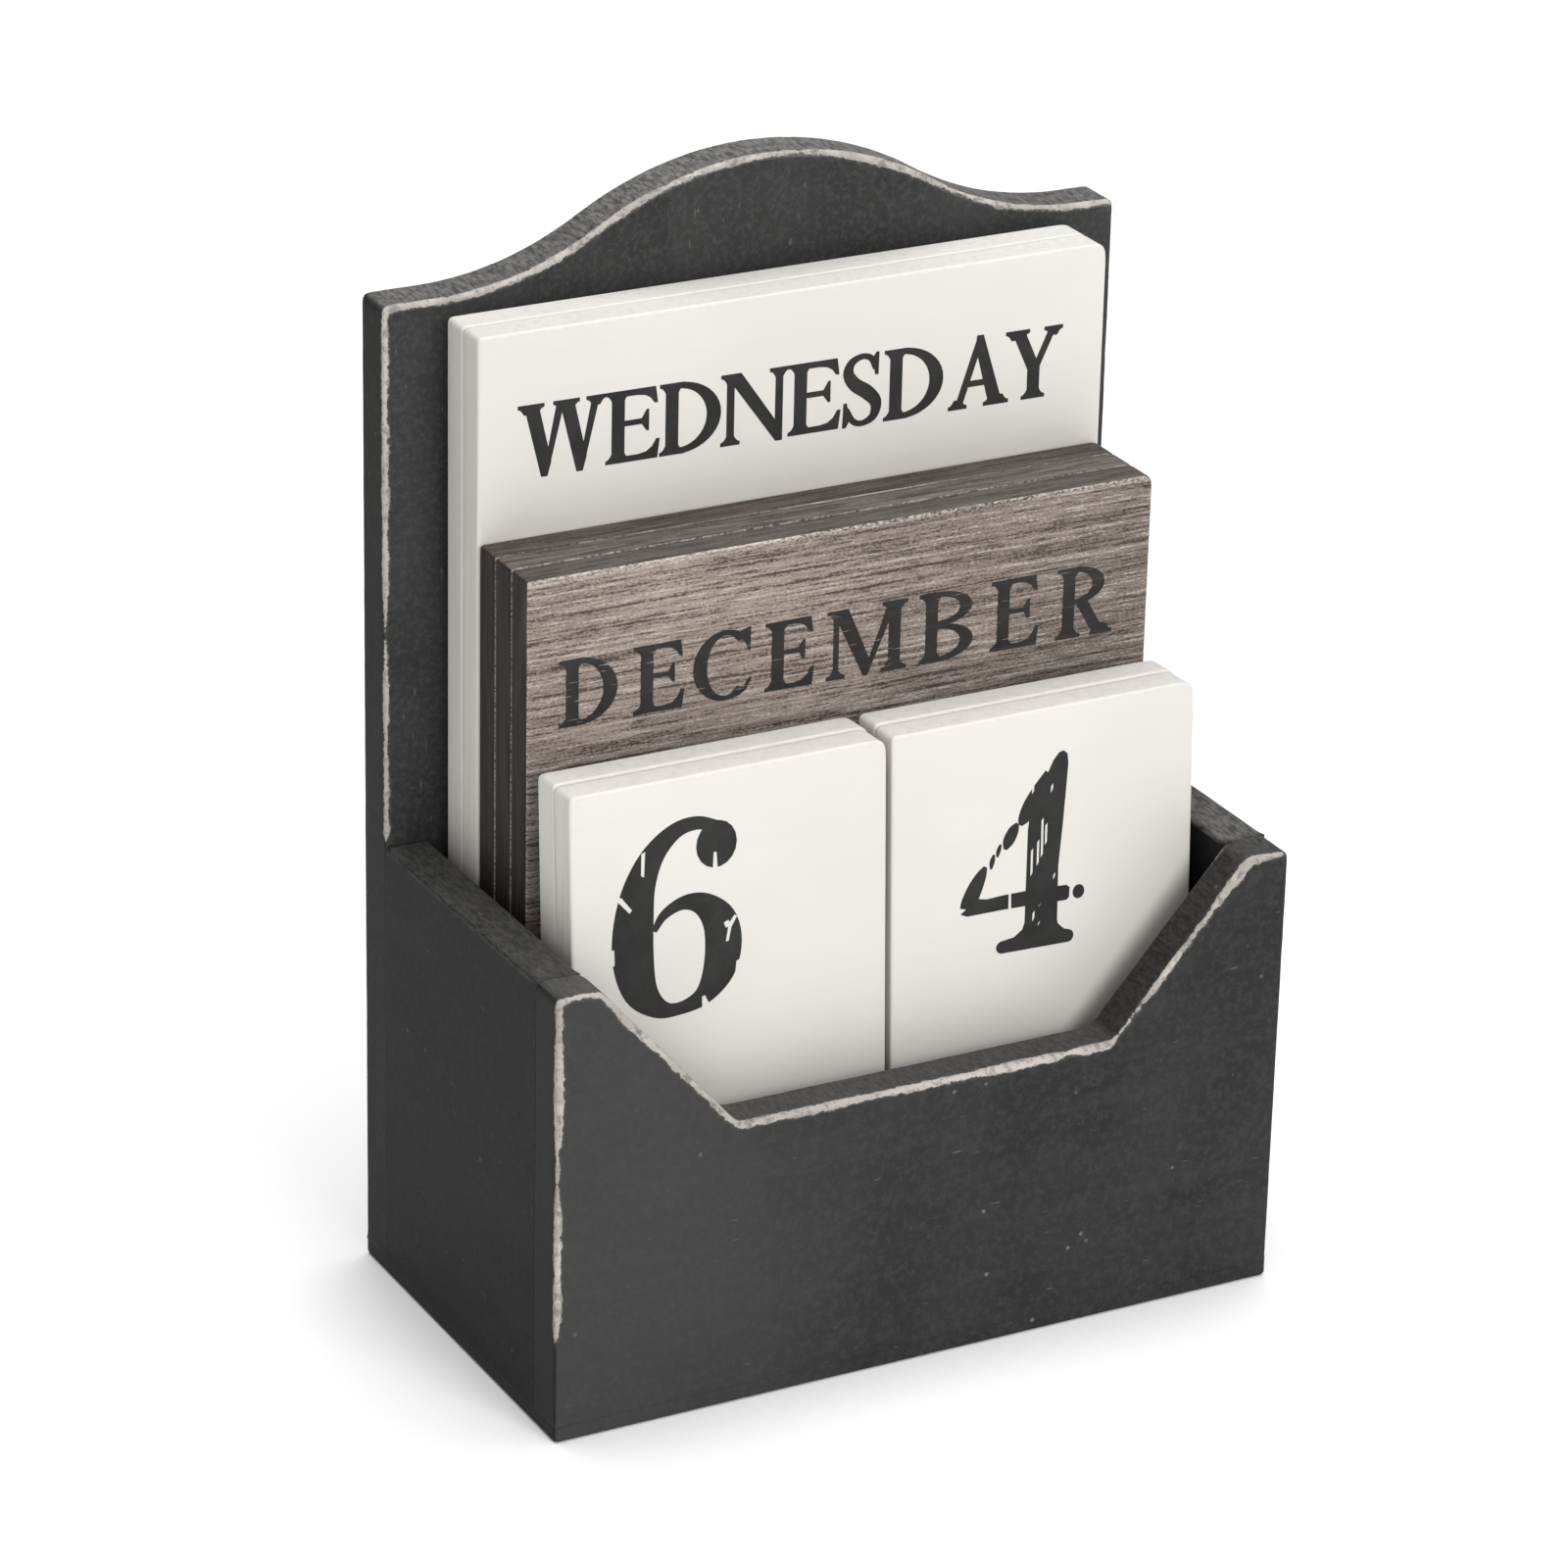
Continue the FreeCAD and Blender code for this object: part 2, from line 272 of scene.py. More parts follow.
def painted_board_material(sizes, grain):
    """Matt black paint, rubbed through to bare board where the wear attribute is high."""
    r = Recipe("painted_board_" + grain)
    strokes, marks = PAINT_GRAIN[grain]
    brushed = r.grain(strokes, 4.0, 0.6)
    cloudy = r.noise(38.0, 4.0, 0.6)
    fine = r.noise(900.0, 3.0, 0.6)
    ragged = r.noise(330.0, 5.0, 0.7)
    patchy = r.noise(70.0, 2.0, 0.5)
    mottled = r.noise(850.0, 4.0, 0.7)

    black = tinted(sizes.paint, 1.38 if grain == "upright" else 1.0)
    paint = r.blend(r.spread(cloudy, 0.30, 0.70), tinted(black, 0.80), tinted(black, 1.20))
    paint = r.blend(r.spread(mottled, 0.42, 0.68, 0.0, 0.60), paint, tinted(black, 1.9))
    paint = r.blend(r.spread(brushed, 0.50, 0.78, 0.0, 0.36), paint, tinted(black, 2.0))
    specks = r.times(r.spread(r.cells(190.0), 0.05, 0.10, 1.0, 0.0), r.spread(patchy, 0.52, 0.60))
    paint = r.blend(r.times(specks, 0.60), paint, SPECK)
    scuffs = r.spread(r.grain(marks, 1.0, 0.5), 0.72, 0.78)
    paint = r.blend(r.times(scuffs, 0.35), paint, SCUFF)
    if grain == "across":
        # Painted sheen: the paint is lightened towards the left, standing in for light it catches.
        painted_sheen = r.spread(r.along(r.place, "X"), SHEEN_FROM, SHEEN_TO, 0.0, 0.6)
        paint = r.blend(painted_sheen, paint, tinted(sizes.paint, 2.2))
    # Painted shade: faces turned along X are darkened, standing in for the light they miss.
    painted_shade_mask = r.spread(r.math("ABSOLUTE", r.along(r.facing, "X")), 0.55, 0.80)
    paint = r.blend(painted_shade_mask, paint, sizes.painted_side_shade, "MULTIPLY")
    rub = r.attribute("rub")
    hatch = r.grain((1500.0, 380.0, 1500.0), 5.0, 0.75)
    paint = r.blend(r.times(rub, r.spread(hatch, 0.32, 0.66)), paint, sizes.rubbed)

    wear = r.attribute("wear")
    jitter = r.plus(r.times(r.minus(ragged, 0.5), 0.52), r.times(r.minus(patchy, 0.5), 0.42))
    jitter = r.plus(jitter, r.times(r.minus(fine, 0.5), 0.30))
    reach = r.plus(wear, r.times(jitter, r.spread(wear, 0.02, 0.35)))
    bare = r.spread(reach, 0.64, 0.69)
    scuffed = r.spread(reach, 0.50, 0.68)
    board = sizes.bare_wood
    wood = r.blend(r.spread(brushed, 0.35, 0.70), tinted(board, 0.80), tinted(board, 1.16))
    wood = r.blend(r.spread(fine, 0.54, 0.66, 0.0, 0.62), wood, tinted(board, 0.36))
    wood = r.blend(r.spread(ragged, 0.55, 0.62, 0.0, 0.55), wood, tinted(board, 0.28))
    surface = r.blend(r.times(scuffed, 0.38), paint, tinted(board, 0.26))
    surface = r.blend(bare, surface, wood)

    rough = r.spread(r.plus(bare, r.times(cloudy, 0.35)), 0.0, 1.3, 0.50, 0.86)
    film = r.minus(r.plus(r.times(brushed, 0.30), r.times(fine, 0.16)), r.times(bare, 0.55))
    return r.finish(surface, rough, r.bumped(film, 0.65, 0.16), 0.06)


def ivory_material(tiles):
    """Satin ivory paint over wood, a little grubby along the edges."""
    r = Recipe("ivory_tile")
    cloudy = r.noise(30.0, 3.0, 0.5)
    fine = r.noise(1200.0, 2.0, 0.5)
    fibres = r.grain((700.0, 700.0, 22.0), 4.0, 0.6)
    brushed = r.grain((18.0, 500.0, 620.0), 4.0, 0.6)
    paint = r.blend(r.spread(cloudy, 0.3, 0.7), tinted(tiles.ivory, 0.975), tinted(tiles.ivory, 1.02))
    paint = r.blend(r.spread(brushed, 0.50, 0.78, 0.0, 0.16), paint, tinted(tiles.ivory, 0.88))
    streak = r.times(r.attribute("rim"), r.spread(fibres, 0.40, 0.75))
    paint = r.blend(r.times(streak, 0.40), paint, STREAK)
    patchy = r.spread(r.noise(160.0, 4.0, 0.65), 0.50, 0.72)
    grime = r.times(r.spread(r.attribute("wear"), 0.35, 0.95), patchy)
    paint = r.blend(r.times(grime, 0.30), paint, GRIME)
    pits = r.times(r.spread(r.cells(210.0), 0.03, 0.07, 1.0, 0.0), r.spread(r.noise(60.0), 0.60, 0.70))
    paint = r.blend(r.times(pits, 0.35), paint, PIT)
    height = r.minus(r.plus(r.times(fine, 0.10), r.times(brushed, 0.22)), r.times(pits, 0.5))
    rough = r.spread(cloudy, 0.2, 0.8, 0.44, 0.56)
    return r.finish(paint, rough, r.bumped(height, 0.5, 0.12), 0.45)


def weathered_rim_material(tiles):
    """Stained rim of a month tile, paler on the sawn ends."""
    r = Recipe("weathered_rim")
    grain = r.grain((900.0, 900.0, 60.0), 5.0, 0.70, twist=0.15)
    coarse = r.grain((324.0, 324.0, 21.6), 3.0, 0.6, (3.0, 1.0, 7.0), 0.2)
    beads = r.grain((1500.0, 1500.0, 3200.0), 3.0, 0.7)
    sawn = r.grain((80.0, 1100.0, 900.0), 4.0, 0.7)
    side = tiles.weathered_side
    base = r.blend(r.spread(grain, 0.35, 0.68), tinted(side, 0.7), tinted(side, 1.6))
    base = r.blend(r.spread(coarse, 0.58, 0.72, 0.0, 0.5), base, tinted(tiles.weathered, 0.30))
    top = r.blend(r.spread(sawn, 0.34, 0.66), tinted(tiles.weathered, 0.17), tinted(tiles.weathered, 0.54))
    top = r.blend(r.times(r.spread(beads, 0.55, 0.70), 0.35), top, tinted(tiles.dry_white, 0.5))
    base = r.blend(r.attribute("end"), base, top)
    height = r.plus(r.times(grain, 0.6), r.times(coarse, 0.4))
    return r.finish(base, 0.78, r.bumped(height, 0.7, 0.25), 0.3)


def weathered_face_material(tiles):
    """Brushed wood: dark stain in the grooves and dry whitewash on the ridges."""
    r = Recipe("weathered_face")
    grain = r.grain((190.0, 900.0, 2700.0), 5.0, 0.70, twist=0.15)
    long_lines = r.grain((20.0, 500.0, 2050.0), 2.0, 0.55, (5.0, 2.0, 1.0))
    beads = r.grain((1500.0, 1500.0, 3200.0), 3.0, 0.7)
    cloudy = r.noise(45.0, 3.0, 0.6)
    tone = r.blend(r.spread(cloudy, 0.3, 0.7), tinted(tiles.weathered, 0.84), tinted(tiles.weathered, 1.14))
    darker_right = r.spread(r.along(r.place, "X"), -0.02, 0.06, 0.0, 0.60)
    tone = r.blend(darker_right, tone, tinted(tiles.weathered, 0.50))
    lines = r.plus(r.times(grain, 0.33), r.times(long_lines, 0.31))
    lines = r.plus(lines, r.times(beads, 0.36))
    lines = r.minus(lines, r.times(r.minus(r.attribute("groove"), 0.4), 0.07))
    tone = r.blend(r.times(r.spread(lines, 0.500, 0.425), 0.92), tone, tiles.groove)
    tone = r.blend(r.times(r.spread(lines, 0.525, 0.590), 0.56), tone, tiles.dry_white)
    edge = r.times(r.spread(r.attribute("wear"), 0.40, 0.95), r.spread(beads, 0.42, 0.60))
    tone = r.blend(r.times(edge, 0.60), tone, tinted(tiles.dry_white, 1.1))
    height = r.plus(r.times(lines, 1.6), r.times(beads, 0.18))
    return r.finish(tone, 0.80, r.bumped(height, 0.85, 0.30), 0.25)


def ink_material(name, ink, on_wood):
    """Printed ink, thin enough to show the surface under it."""
    r = Recipe(name)
    cloudy = r.noise(160.0, 4.0, 0.65)
    grain = r.grain((30.0, 900.0, 1150.0) if on_wood else (600.0, 600.0, 600.0), 4.0, 0.65)
    base = r.blend(r.spread(cloudy, 0.3, 0.7), tinted(ink, 0.8), tinted(ink, 1.3))
    base = r.blend(r.spread(grain, 0.55, 0.78, 0.0, 0.55 if on_wood else 0.25), base, tinted(ink, 3.0))
    if on_wood:
        return r.finish(base, 0.74, r.bumped(grain, 0.6, 0.2), 0.2)
    return r.finish(base, 0.62, r.bumped(grain, 0.25, 0.06), 0.2)


def pin_material():
    """Bright drawn steel."""
    r = Recipe("steel_pin")
    drawn = r.grain((2500.0, 300.0, 2500.0), 3.0, 0.5)
    base = r.blend(r.spread(drawn, 0.3, 0.7), *BRIGHT_STEEL)
    r.shader.inputs["Metallic"].default_value = 1.0
    return r.finish(base, r.spread(drawn, 0.2, 0.8, 0.28, 0.42), r.bumped(drawn, 0.3, 0.02))


# --------------------------------------------------------------------------
# Boards: an outline of straight runs and arcs, with rounded and worn edges
# --------------------------------------------------------------------------
class Run:
    """A straight run between two points, or an arc about a centre, of an anticlockwise outline."""

    def __init__(self, name, start=None, end=None, centre=None, radius=0.0, turn=(0.0, 0.0)):
        self.name, self.start, self.end = name, start, end
        self.centre, self.radius, self.turn = centre, radius, turn
        if centre is None:
            self.size = (end - start).length
        else:
            self.size = radius * abs(turn[1] - turn[0])

    def outward(self, t):
        if self.centre is None:
            way = (self.end - self.start).normalized()
            return Vector((way.y, -way.x))
        angle = self.turn[0] + (self.turn[1] - self.turn[0]) * t
        radial = Vector((math.cos(angle), math.sin(angle)))
        return radial if self.turn[1] > self.turn[0] else -radial

    def point(self, t):
        if self.centre is None:
            return self.start.lerp(self.end, t)
        angle = self.turn[0] + (self.turn[1] - self.turn[0]) * t
        return self.centre + self.radius * Vector((math.cos(angle), math.sin(angle)))


def inset_junction(before, after, inset):
    """Where two neighbouring runs meet once both are moved inwards."""
    a, b = before.outward(1.0), after.outward(0.0)
    return after.point(0.0) - inset * (a + b) / (1.0 + a.dot(b))


def inset_point(runs, index, t, inset):
    run = runs[index]
    if run.centre is not None:
        return run.point(t) - inset * run.outward(t)
    start = inset_junction(runs[index - 1], run, inset)
    end = inset_junction(run, runs[(index + 1) % len(runs)], inset)
    return start.lerp(end, t)


def smoothed(values, rounds):
    """Evens out a closed list of numbers or vectors."""
    for _ in range(rounds):
        count = len(values)
        values = [(values[i - 1] + values[i] * 2.0 + values[(i + 1) % count]) / 4.0 for i in range(count)]
    return values


ARC_STEPS = (0.0, 0.22, 0.42, 0.58, 0.78, 1.0)             # shares of a rounded edge's quarter turn
FACE_STEPS = (2.6, 1.7, 1.0, 0.45)                         # distances in from a rounded edge
RIM_STEPS = (0.06, 0.17, 0.33, 0.5, 0.67, 0.83, 0.94)      # shares of the rim's width
SAMPLE_STEP = 0.7            # spacing of the points along an outline
SEAM_ROUND = 0.04            # least rounding, where a board meets another
SANDED_FOOT = 0.12           # rounding along the box's bottom
HALF_ARC = 0.785             # from the middle of a rounded edge to its end, as a share of its radius
WEAR_REACH = 3.0             # how far wear creeps from an edge
SQUARE_FOOT = 2.5            # corners below this height stay square, to meet the base board


def slab(name, runs, thickness, place, edges, corner_rounds=4, right_rounds=None, chip=0.0, dip=0.0,
         rub=None, corner_wear=0.5, patch=None, square_below=None, seed=0):
    """A board with its outline in two coordinates and its thickness in a third.

    edges(run name, rear) gives the rounding and the wear of the edge between that run's rim and
    the front or rear face, and patch(u, v) a share of that wear at a point of the outline.
    Corners are evened out corner_rounds times, those on the right right_rounds times, and
    those that lie below square_below not at all.
    All sizes are in millimetres; place(u, v, w) puts a point in the world.
    """
    samples = []
    for index, run in enumerate(runs):
        count = max(1, round(run.size / SAMPLE_STEP))
        samples += [(index, i / count) for i in range(count)]
    total = len(samples)
    rounding, strength = {}, {}
    for rear in (False, True):
        given = [edges(runs[index].name, rear) for index, _ in samples]
        rounding[rear] = smoothed([max(SEAM_ROUND, g[0]) for g in given], 2)
        worn = []
        for (index, t), (_, amount) in zip(samples, given):
            spot = runs[index].point(t)
            drift = noise.noise(Vector((spot.x * 0.07, spot.y * 0.07, seed * 5.0 + rear)))
            worn.append(amount * (1.0 + 0.26 * drift) * (patch(spot.x, spot.y) if patch else 1.0))
        strength[rear] = smoothed(worn, 3)
    corner_gap = corner_distances(runs, samples)
    rubbed = smoothed([rub(runs[index].name) if rub else 0.0 for index, _ in samples], 2)

    stations = [("face", False, s) for s in FACE_STEPS] + [("arc", False, s) for s in ARC_STEPS]
    stations += [("rim", False, s) for s in RIM_STEPS]
    stations += [("arc", True, s) for s in reversed(ARC_STEPS)]
    stations += [("face", True, s) for s in reversed(FACE_STEPS)]

    mesh = bmesh.new()
    wear_layer, rub_layer, rim_layer = new_layers(mesh, "wear", "rub", "rim")
    rings = []
    for kind, rear, value in stations:
        flat, depths, wears, leans = [], [], [], []
        for i, (index, t) in enumerate(samples):
            front_r, rear_r = rounding[False][i], rounding[True][i]
            r = rear_r if rear else front_r
            if kind == "face":
                inset, depth, gap, lean = r + value, 0.0, value + r * math.pi / 4, 0.0
            elif kind == "arc":
                lean = value * math.pi / 2
                inset, depth = r * (1 - math.sin(lean)), r * (1 - math.cos(lean))
                gap = r * abs(lean - math.pi / 4)
            else:
                depth = front_r + (thickness - front_r - rear_r) * value
                inset, gap, lean = 0.0, None, math.pi / 2
            if rear and kind != "rim":
                depth = thickness - depth
            if kind == "rim":
                to_front = depth - front_r + front_r * HALF_ARC
                to_rear = thickness - depth - rear_r + rear_r * HALF_ARC
                wear = max(strength[False][i] * (1 - to_front / WEAR_REACH),
                           strength[True][i] * (1 - to_rear / WEAR_REACH))
            else:
                wear = strength[rear][i] * (1 - gap / WEAR_REACH)
            near = math.hypot(corner_gap[i], gap) if kind == "face" else corner_gap[i]
            worn_edge = strength[rear if kind == "face" else False][i] > 0.2
            wear = max(wear, corner_wear * (1 - near / WEAR_REACH) * worn_edge)
            flat.append(inset_point(runs, index, t, inset))
            depths.append(depth)
            wears.append(max(0.0, wear))
            leans.append(lean)
        flat = corners_evened(flat, corner_rounds, right_rounds, square_below)
        ring = []
        for i, (index, t) in enumerate(samples):
            outward = runs[index].outward(t)
            u, v, w = flat[i].x, flat[i].y, depths[i]
            facing = 1.0 if rear else -1.0
            if dip and kind == "face":
                w -= facing * dip * max(0.0, 1 - value / FACE_STEPS[0]) ** 1.5
            elif dip:
                w -= facing * dip * math.cos(leans[i]) if kind == "arc" else 0.0
            if chip and wears[i] > 0.25:
                nick = noise.noise(Vector((u, v, w + seed * 31.0)) * 0.9) * 0.5
                nick += noise.noise(Vector((u, v, w + seed * 17.0)) * 0.28)
                amount = chip * (wears[i] - 0.25) * max(0.0, 0.55 + nick)
                u -= outward.x * amount * math.sin(leans[i])
                v -= outward.y * amount * math.sin(leans[i])
                w -= facing * amount * math.cos(leans[i])
            vert = mesh.verts.new(place(u * MM, v * MM, w * MM))
            vert[wear_layer] = wears[i]
            vert[rub_layer] = rubbed[i] * (1.0 if kind != "face" else 0.0)
            vert[rim_layer] = 1.0 if kind == "rim" else (0.5 if kind == "arc" else 0.0)
            ring.append(vert)
        rings.append(ring)
    for ring, following in zip(rings, rings[1:]):
        for i in range(total):
            j = (i + 1) % total
            mesh.faces.new((ring[i], ring[j], following[j], following[i]))
    mesh.faces.new(rings[0])
    mesh.faces.new(list(reversed(rings[-1])))
    return to_object(mesh, name)


def new_layers(mesh, *names):
    """Numbers kept at each vertex, which the materials read."""
    return [mesh.verts.layers.float.new(name) for name in names]


def corners_evened(outline, rounds, right_rounds, square_below):
    few = smoothed(outline, rounds)
    many = few if right_rounds is None else smoothed(outline, right_rounds)
    middle = (min(p.x for p in outline) + max(p.x for p in outline)) / 2
    evened = [right if old.x > middle else left for old, left, right in zip(outline, few, many)]
    if square_below is None:
        return evened
    return [old if old.y < square_below else new for old, new in zip(outline, evened)]


def corner_distances(runs, samples):
    """How far each sample is, along the outline, from the nearest sharp corner."""
    starts = [sum(run.size for run in runs[:i]) for i in range(len(runs))]
    around = sum(run.size for run in runs)
    sharp = [starts[i] for i, run in enumerate(runs)
             if runs[i - 1].outward(1.0).angle(run.outward(0.0)) > math.radians(20)]
    gaps = []
    for index, t in samples:
        here = starts[index] + runs[index].size * t
        gaps.append(min([min(abs(here - s), around - abs(here - s)) for s in sharp] or [99.0]))
    return gaps


def to_object(mesh, name):
    """Turns finished bmesh geometry into a smooth-shaded object."""
    bmesh.ops.recalc_face_normals(mesh, faces=mesh.faces)
    data = bpy.data.meshes.new(name)
    mesh.to_mesh(data)
    mesh.free()
    data.polygons.foreach_set("use_smooth", [True] * len(data.polygons))
    made = bpy.data.objects.new(name, data)
    bpy.context.collection.objects.link(made)
    return made


def polygon_runs(corners):
    """Straight runs through named corners; each name is that of the run that starts there."""
    points = [Vector(corner[1:]) for corner in corners]
    return [Run(corner[0], points[i], points[(i + 1) % len(points)]) for i, corner in enumerate(corners)]


def stand_in_for(piece, node, body, slot, *materials):
    """Rides the new piece on its body and hides the plain node it replaces."""
    for material in materials:
        piece.data.materials.append(material)
    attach(piece, body)
    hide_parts(node)


def box_mm(node):
    low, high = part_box(node)
    return Vector(low) / MM, Vector(high) / MM


def upright(depth_start):
    """Board in the XZ plane, its front face at depth_start, thickness towards +Y."""
    return lambda u, v, w: Vector((u, depth_start * MM + w, v))


def sideways(x_outer, direction):
    """Board in the YZ plane, its outer face at x_outer, thickness towards the inside."""
    return lambda u, v, w: Vector((x_outer * MM + direction * w, u, v))


def leaning(foot_y, foot_z, thickness, lean):
    """Tile leaning back about its rear foot; v counts up from the foot, w from its front face."""
    def place(u, v, w):
        y, z = w - thickness * MM, v
        return Vector((u, foot_y * MM + y * math.cos(lean) + z * math.sin(lean),
                       foot_z * MM - y * math.sin(lean) + z * math.cos(lean)))
    return place


def dressed(node_name, material):
    """Gives a plain node that keeps its shape a better material."""
    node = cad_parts[node_name]
    if not node.material_slots:
        node.data.materials.append(material)
    for slot in node.material_slots:
        slot.material = material


# --------------------------------------------------------------------------
# The box
# --------------------------------------------------------------------------
class CALENDAR_OT_boards(Operator):
    """Build the five painted boards of the box, with rubbed and worn edges"""
    bl_idname = "calendar.boards"
    bl_label = "Painted boards"

    def execute(self, context):
        sizes = context.scene.calendar_boards
        paints = {grain: painted_board_material(sizes, grain) for grain in ("across", "upright", "deep")}
        self.base_board(sizes, paints["across"])
        self.front_panel(sizes, paints["across"])
        self.back_board(sizes, paints["upright"])
        self.side(sizes, "left_side", paints["deep"])
        self.side(sizes, "right_side", paints["deep"])
        return {"FINISHED"}

    def base_board(self, sizes, paint):
        low, high = box_mm("base_board")
        runs = polygon_runs([("front", low.x, low.y), ("right", high.x, low.y),
                             ("back", high.x, high.y), ("left", low.x, high.y)])
        r = sizes.edge_radius / MM
        piece = slab("base_board_finish", runs, high.z - low.z, lambda u, v, w: Vector((u, v, w)),
                     lambda name, back: (SANDED_FOOT if name == "front" else 0.0, 0.0) if back else (r, 0.30),
                     corner_rounds=1, chip=sizes.chip_depth / MM, corner_wear=0.2, seed=2)
        stand_in_for(piece, "base_board", HOLDER, "painted_board", paint)

    def front_panel(self, sizes, paint):
        low, high = box_mm("front_panel")
        inner = box_mm("left_side")[1].x
        sill = sizes.sill_width / MM / 2
        sill_height = high.z - sizes.cutout_depth / MM
        runs = polygon_runs([
            ("bottom", low.x, low.z), ("right", high.x, low.z), ("right_horn", high.x, high.z),
            ("right_slope", -inner, high.z), ("sill", sill, sill_height),
            ("left_slope", -sill, sill_height), ("left_horn", inner, high.z), ("left", low.x, high.z)])
        r = sizes.edge_radius / MM
        front = {"bottom": (SANDED_FOOT, 0.0), "right": (r, 0.42), "right_horn": (r, 0.80),
                 "right_slope": (r, 0.81), "sill": (r, 0.94), "left_slope": (r, 0.96), "left_horn": (r, 0.78),
                 "left": (r, 0.88)}

        def patch(u, v):
            """The foot keeps its paint, and so does a short stretch of the sill."""
            above_foot = min(1.0, max(0.0, (v - low.z - 12.0) / 5.0))
            painted = abs(u - sill * 0.76) < 1.2 and abs(v - sill_height) < 1.0
            return 0.72 if painted else above_foot

        rear = {"right_horn": (0.2, 0.3), "right_slope": (0.6, 0.62), "sill": (0.6, 0.62),
                "left_slope": (0.6, 0.62), "left_horn": (0.2, 0.3)}
        rub = {"right_horn": 0.25, "right_slope": 0.14, "sill": 0.22, "left_slope": 0.16, "left_horn": 0.25}
        piece = slab("front_panel_finish", runs, high.y - low.y, upright(low.y),
                     lambda name, back: (rear.get(name, (0.0, 0.0)) if back else front[name]),
                     chip=sizes.chip_depth / MM, rub=lambda name: rub.get(name, 0.0), patch=patch,
                     square_below=low.z + SQUARE_FOOT, seed=3)
        stand_in_for(piece, "front_panel", HOLDER, "painted_board", paint)

    def back_board(self, sizes, paint):
        low, high = box_mm("back_board")
        box_top = box_mm("left_side")[1].z
        rise, reach = sizes.crown_rise / MM, sizes.crown_reach / MM
        crown, shift = sizes.crown_radius / MM, sizes.crown_shift / MM
        shoulder = high.z - rise
        flank = (reach ** 2 + rise ** 2) / (2 * rise) - crown
        turn = math.asin(reach / (flank + crown))
        down, up = math.radians(270), math.radians(90)
        right_foot, left_foot = Vector((shift + reach, shoulder)), Vector((shift - reach, shoulder))
        rise_to_centre = Vector((0.0, flank))
        corner = {name: Vector(place) for name, place in {
            "bl": (low.x, low.z), "br": (high.x, low.z), "rm": (high.x, box_top), "tr": (high.x, shoulder),
            "tl": (low.x, shoulder), "lm": (low.x, box_top)}.items()}
        runs = [
            Run("bottom", corner["bl"], corner["br"]),
            Run("right_low", corner["br"], corner["rm"]),
            Run("right", corner["rm"], corner["tr"]),
            Run("shoulder", corner["tr"], right_foot),
            Run("flank", centre=right_foot + rise_to_centre, radius=flank, turn=(down, down - turn)),
            Run("crown", centre=Vector((shift, high.z - crown)), radius=crown, turn=(up - turn, up + turn)),
            Run("flank", centre=left_foot + rise_to_centre, radius=flank, turn=(down + turn, down)),
            Run("shoulder", left_foot, corner["tl"]),
            Run("left", corner["tl"], corner["lm"]),
            Run("left_low", corner["lm"], corner["bl"])]
        r = sizes.edge_radius / MM
        front = {"right": (r, 0.60), "left": (r, 0.83), "shoulder": (r, 0.86), "flank": (r, 0.86),
                 "crown": (r, 0.88)}
        rear = {"bottom": (SANDED_FOOT, 0.0), "shoulder": (r, 0.7), "flank": (r, 0.62), "crown": (r, 0.7)}
        rear.update({name: (r, 0.5) for name in ("right", "left", "right_low", "left_low")})
        rub = {"shoulder": 0.9, "flank": 0.8, "crown": 1.0}
        piece = slab("back_board_finish", runs, high.y - low.y, upright(low.y),
                     lambda name, back: (rear if back else front).get(name, (0.1, 0.0)),
                     chip=sizes.chip_depth / MM, rub=lambda name: rub.get(name, 0.0),
                     square_below=low.z + SQUARE_FOOT, seed=8)
        stand_in_for(piece, "back_board", HOLDER, "painted_board", paint)

    def side(self, sizes, node, paint):
        low, high = box_mm(node)
        outer, inward = (low.x, 1.0) if low.x < 0 else (high.x, -1.0)
        runs = polygon_runs([("bottom", low.y, low.z), ("back", high.y, low.z),
                             ("top", high.y, high.z), ("front", low.y, high.z)])
        r = sizes.edge_radius / MM
        edge = {"top": (r, 0.40)}
        piece = slab(node + "_finish", runs, high.x - low.x, sideways(outer, inward),
                     lambda name, back: edge.get(name, (0.0, 0.0)),
                     corner_rounds=0, chip=sizes.chip_depth / MM,
                     rub=lambda name: (0.25 if low.x < 0 else 0.70) if name == "top" else 0.0,
                     corner_wear=0.0, seed=5 if low.x < 0 else 6)
        stand_in_for(piece, node, HOLDER, "painted_board", paint)


# --------------------------------------------------------------------------
# The tiles
# --------------------------------------------------------------------------
DAY_TILES = ("day_tile_rear", "day_tile_front")
MONTH_TILES = ("month_tile_rear", "month_tile_middle", "month_tile_front")
DIGIT_TILES = ("tens_tile_rear", "tens_tile_front", "units_tile_rear", "units_tile_front")
LEAN = math.radians(2.8)
TILE_THICKNESS = 6.0
TILE_GAP = 0.2
TILE_FOOT = 3.1              # height of a digit tile's foot above the ground
DIGIT_FOOT_GAP = 3.9         # from the front panel to the foot of the front digit tiles
DIGIT_STACK = 2 * TILE_THICKNESS + TILE_GAP
DIGIT_PITCH = (TILE_THICKNESS + TILE_GAP) / math.cos(LEAN)
DIGIT_TILE_HEIGHT = 106.4


def tile_place(node):
    """(place function, left, right, foot, top) of a tile; the last four in its own u and v."""
    low, high = box_mm(node)
    if node in DIGIT_TILES:
        order = 1 if node.endswith("front") else 0
        rear_foot = box_mm("front_panel")[1].y + DIGIT_FOOT_GAP + DIGIT_STACK * math.cos(LEAN)
        place = leaning(rear_foot - order * DIGIT_PITCH, TILE_FOOT, TILE_THICKNESS, LEAN)
        return place, low.x, high.x, 0.0, DIGIT_TILE_HEIGHT
    return upright(low.y), low.x, high.x, low.z, high.z


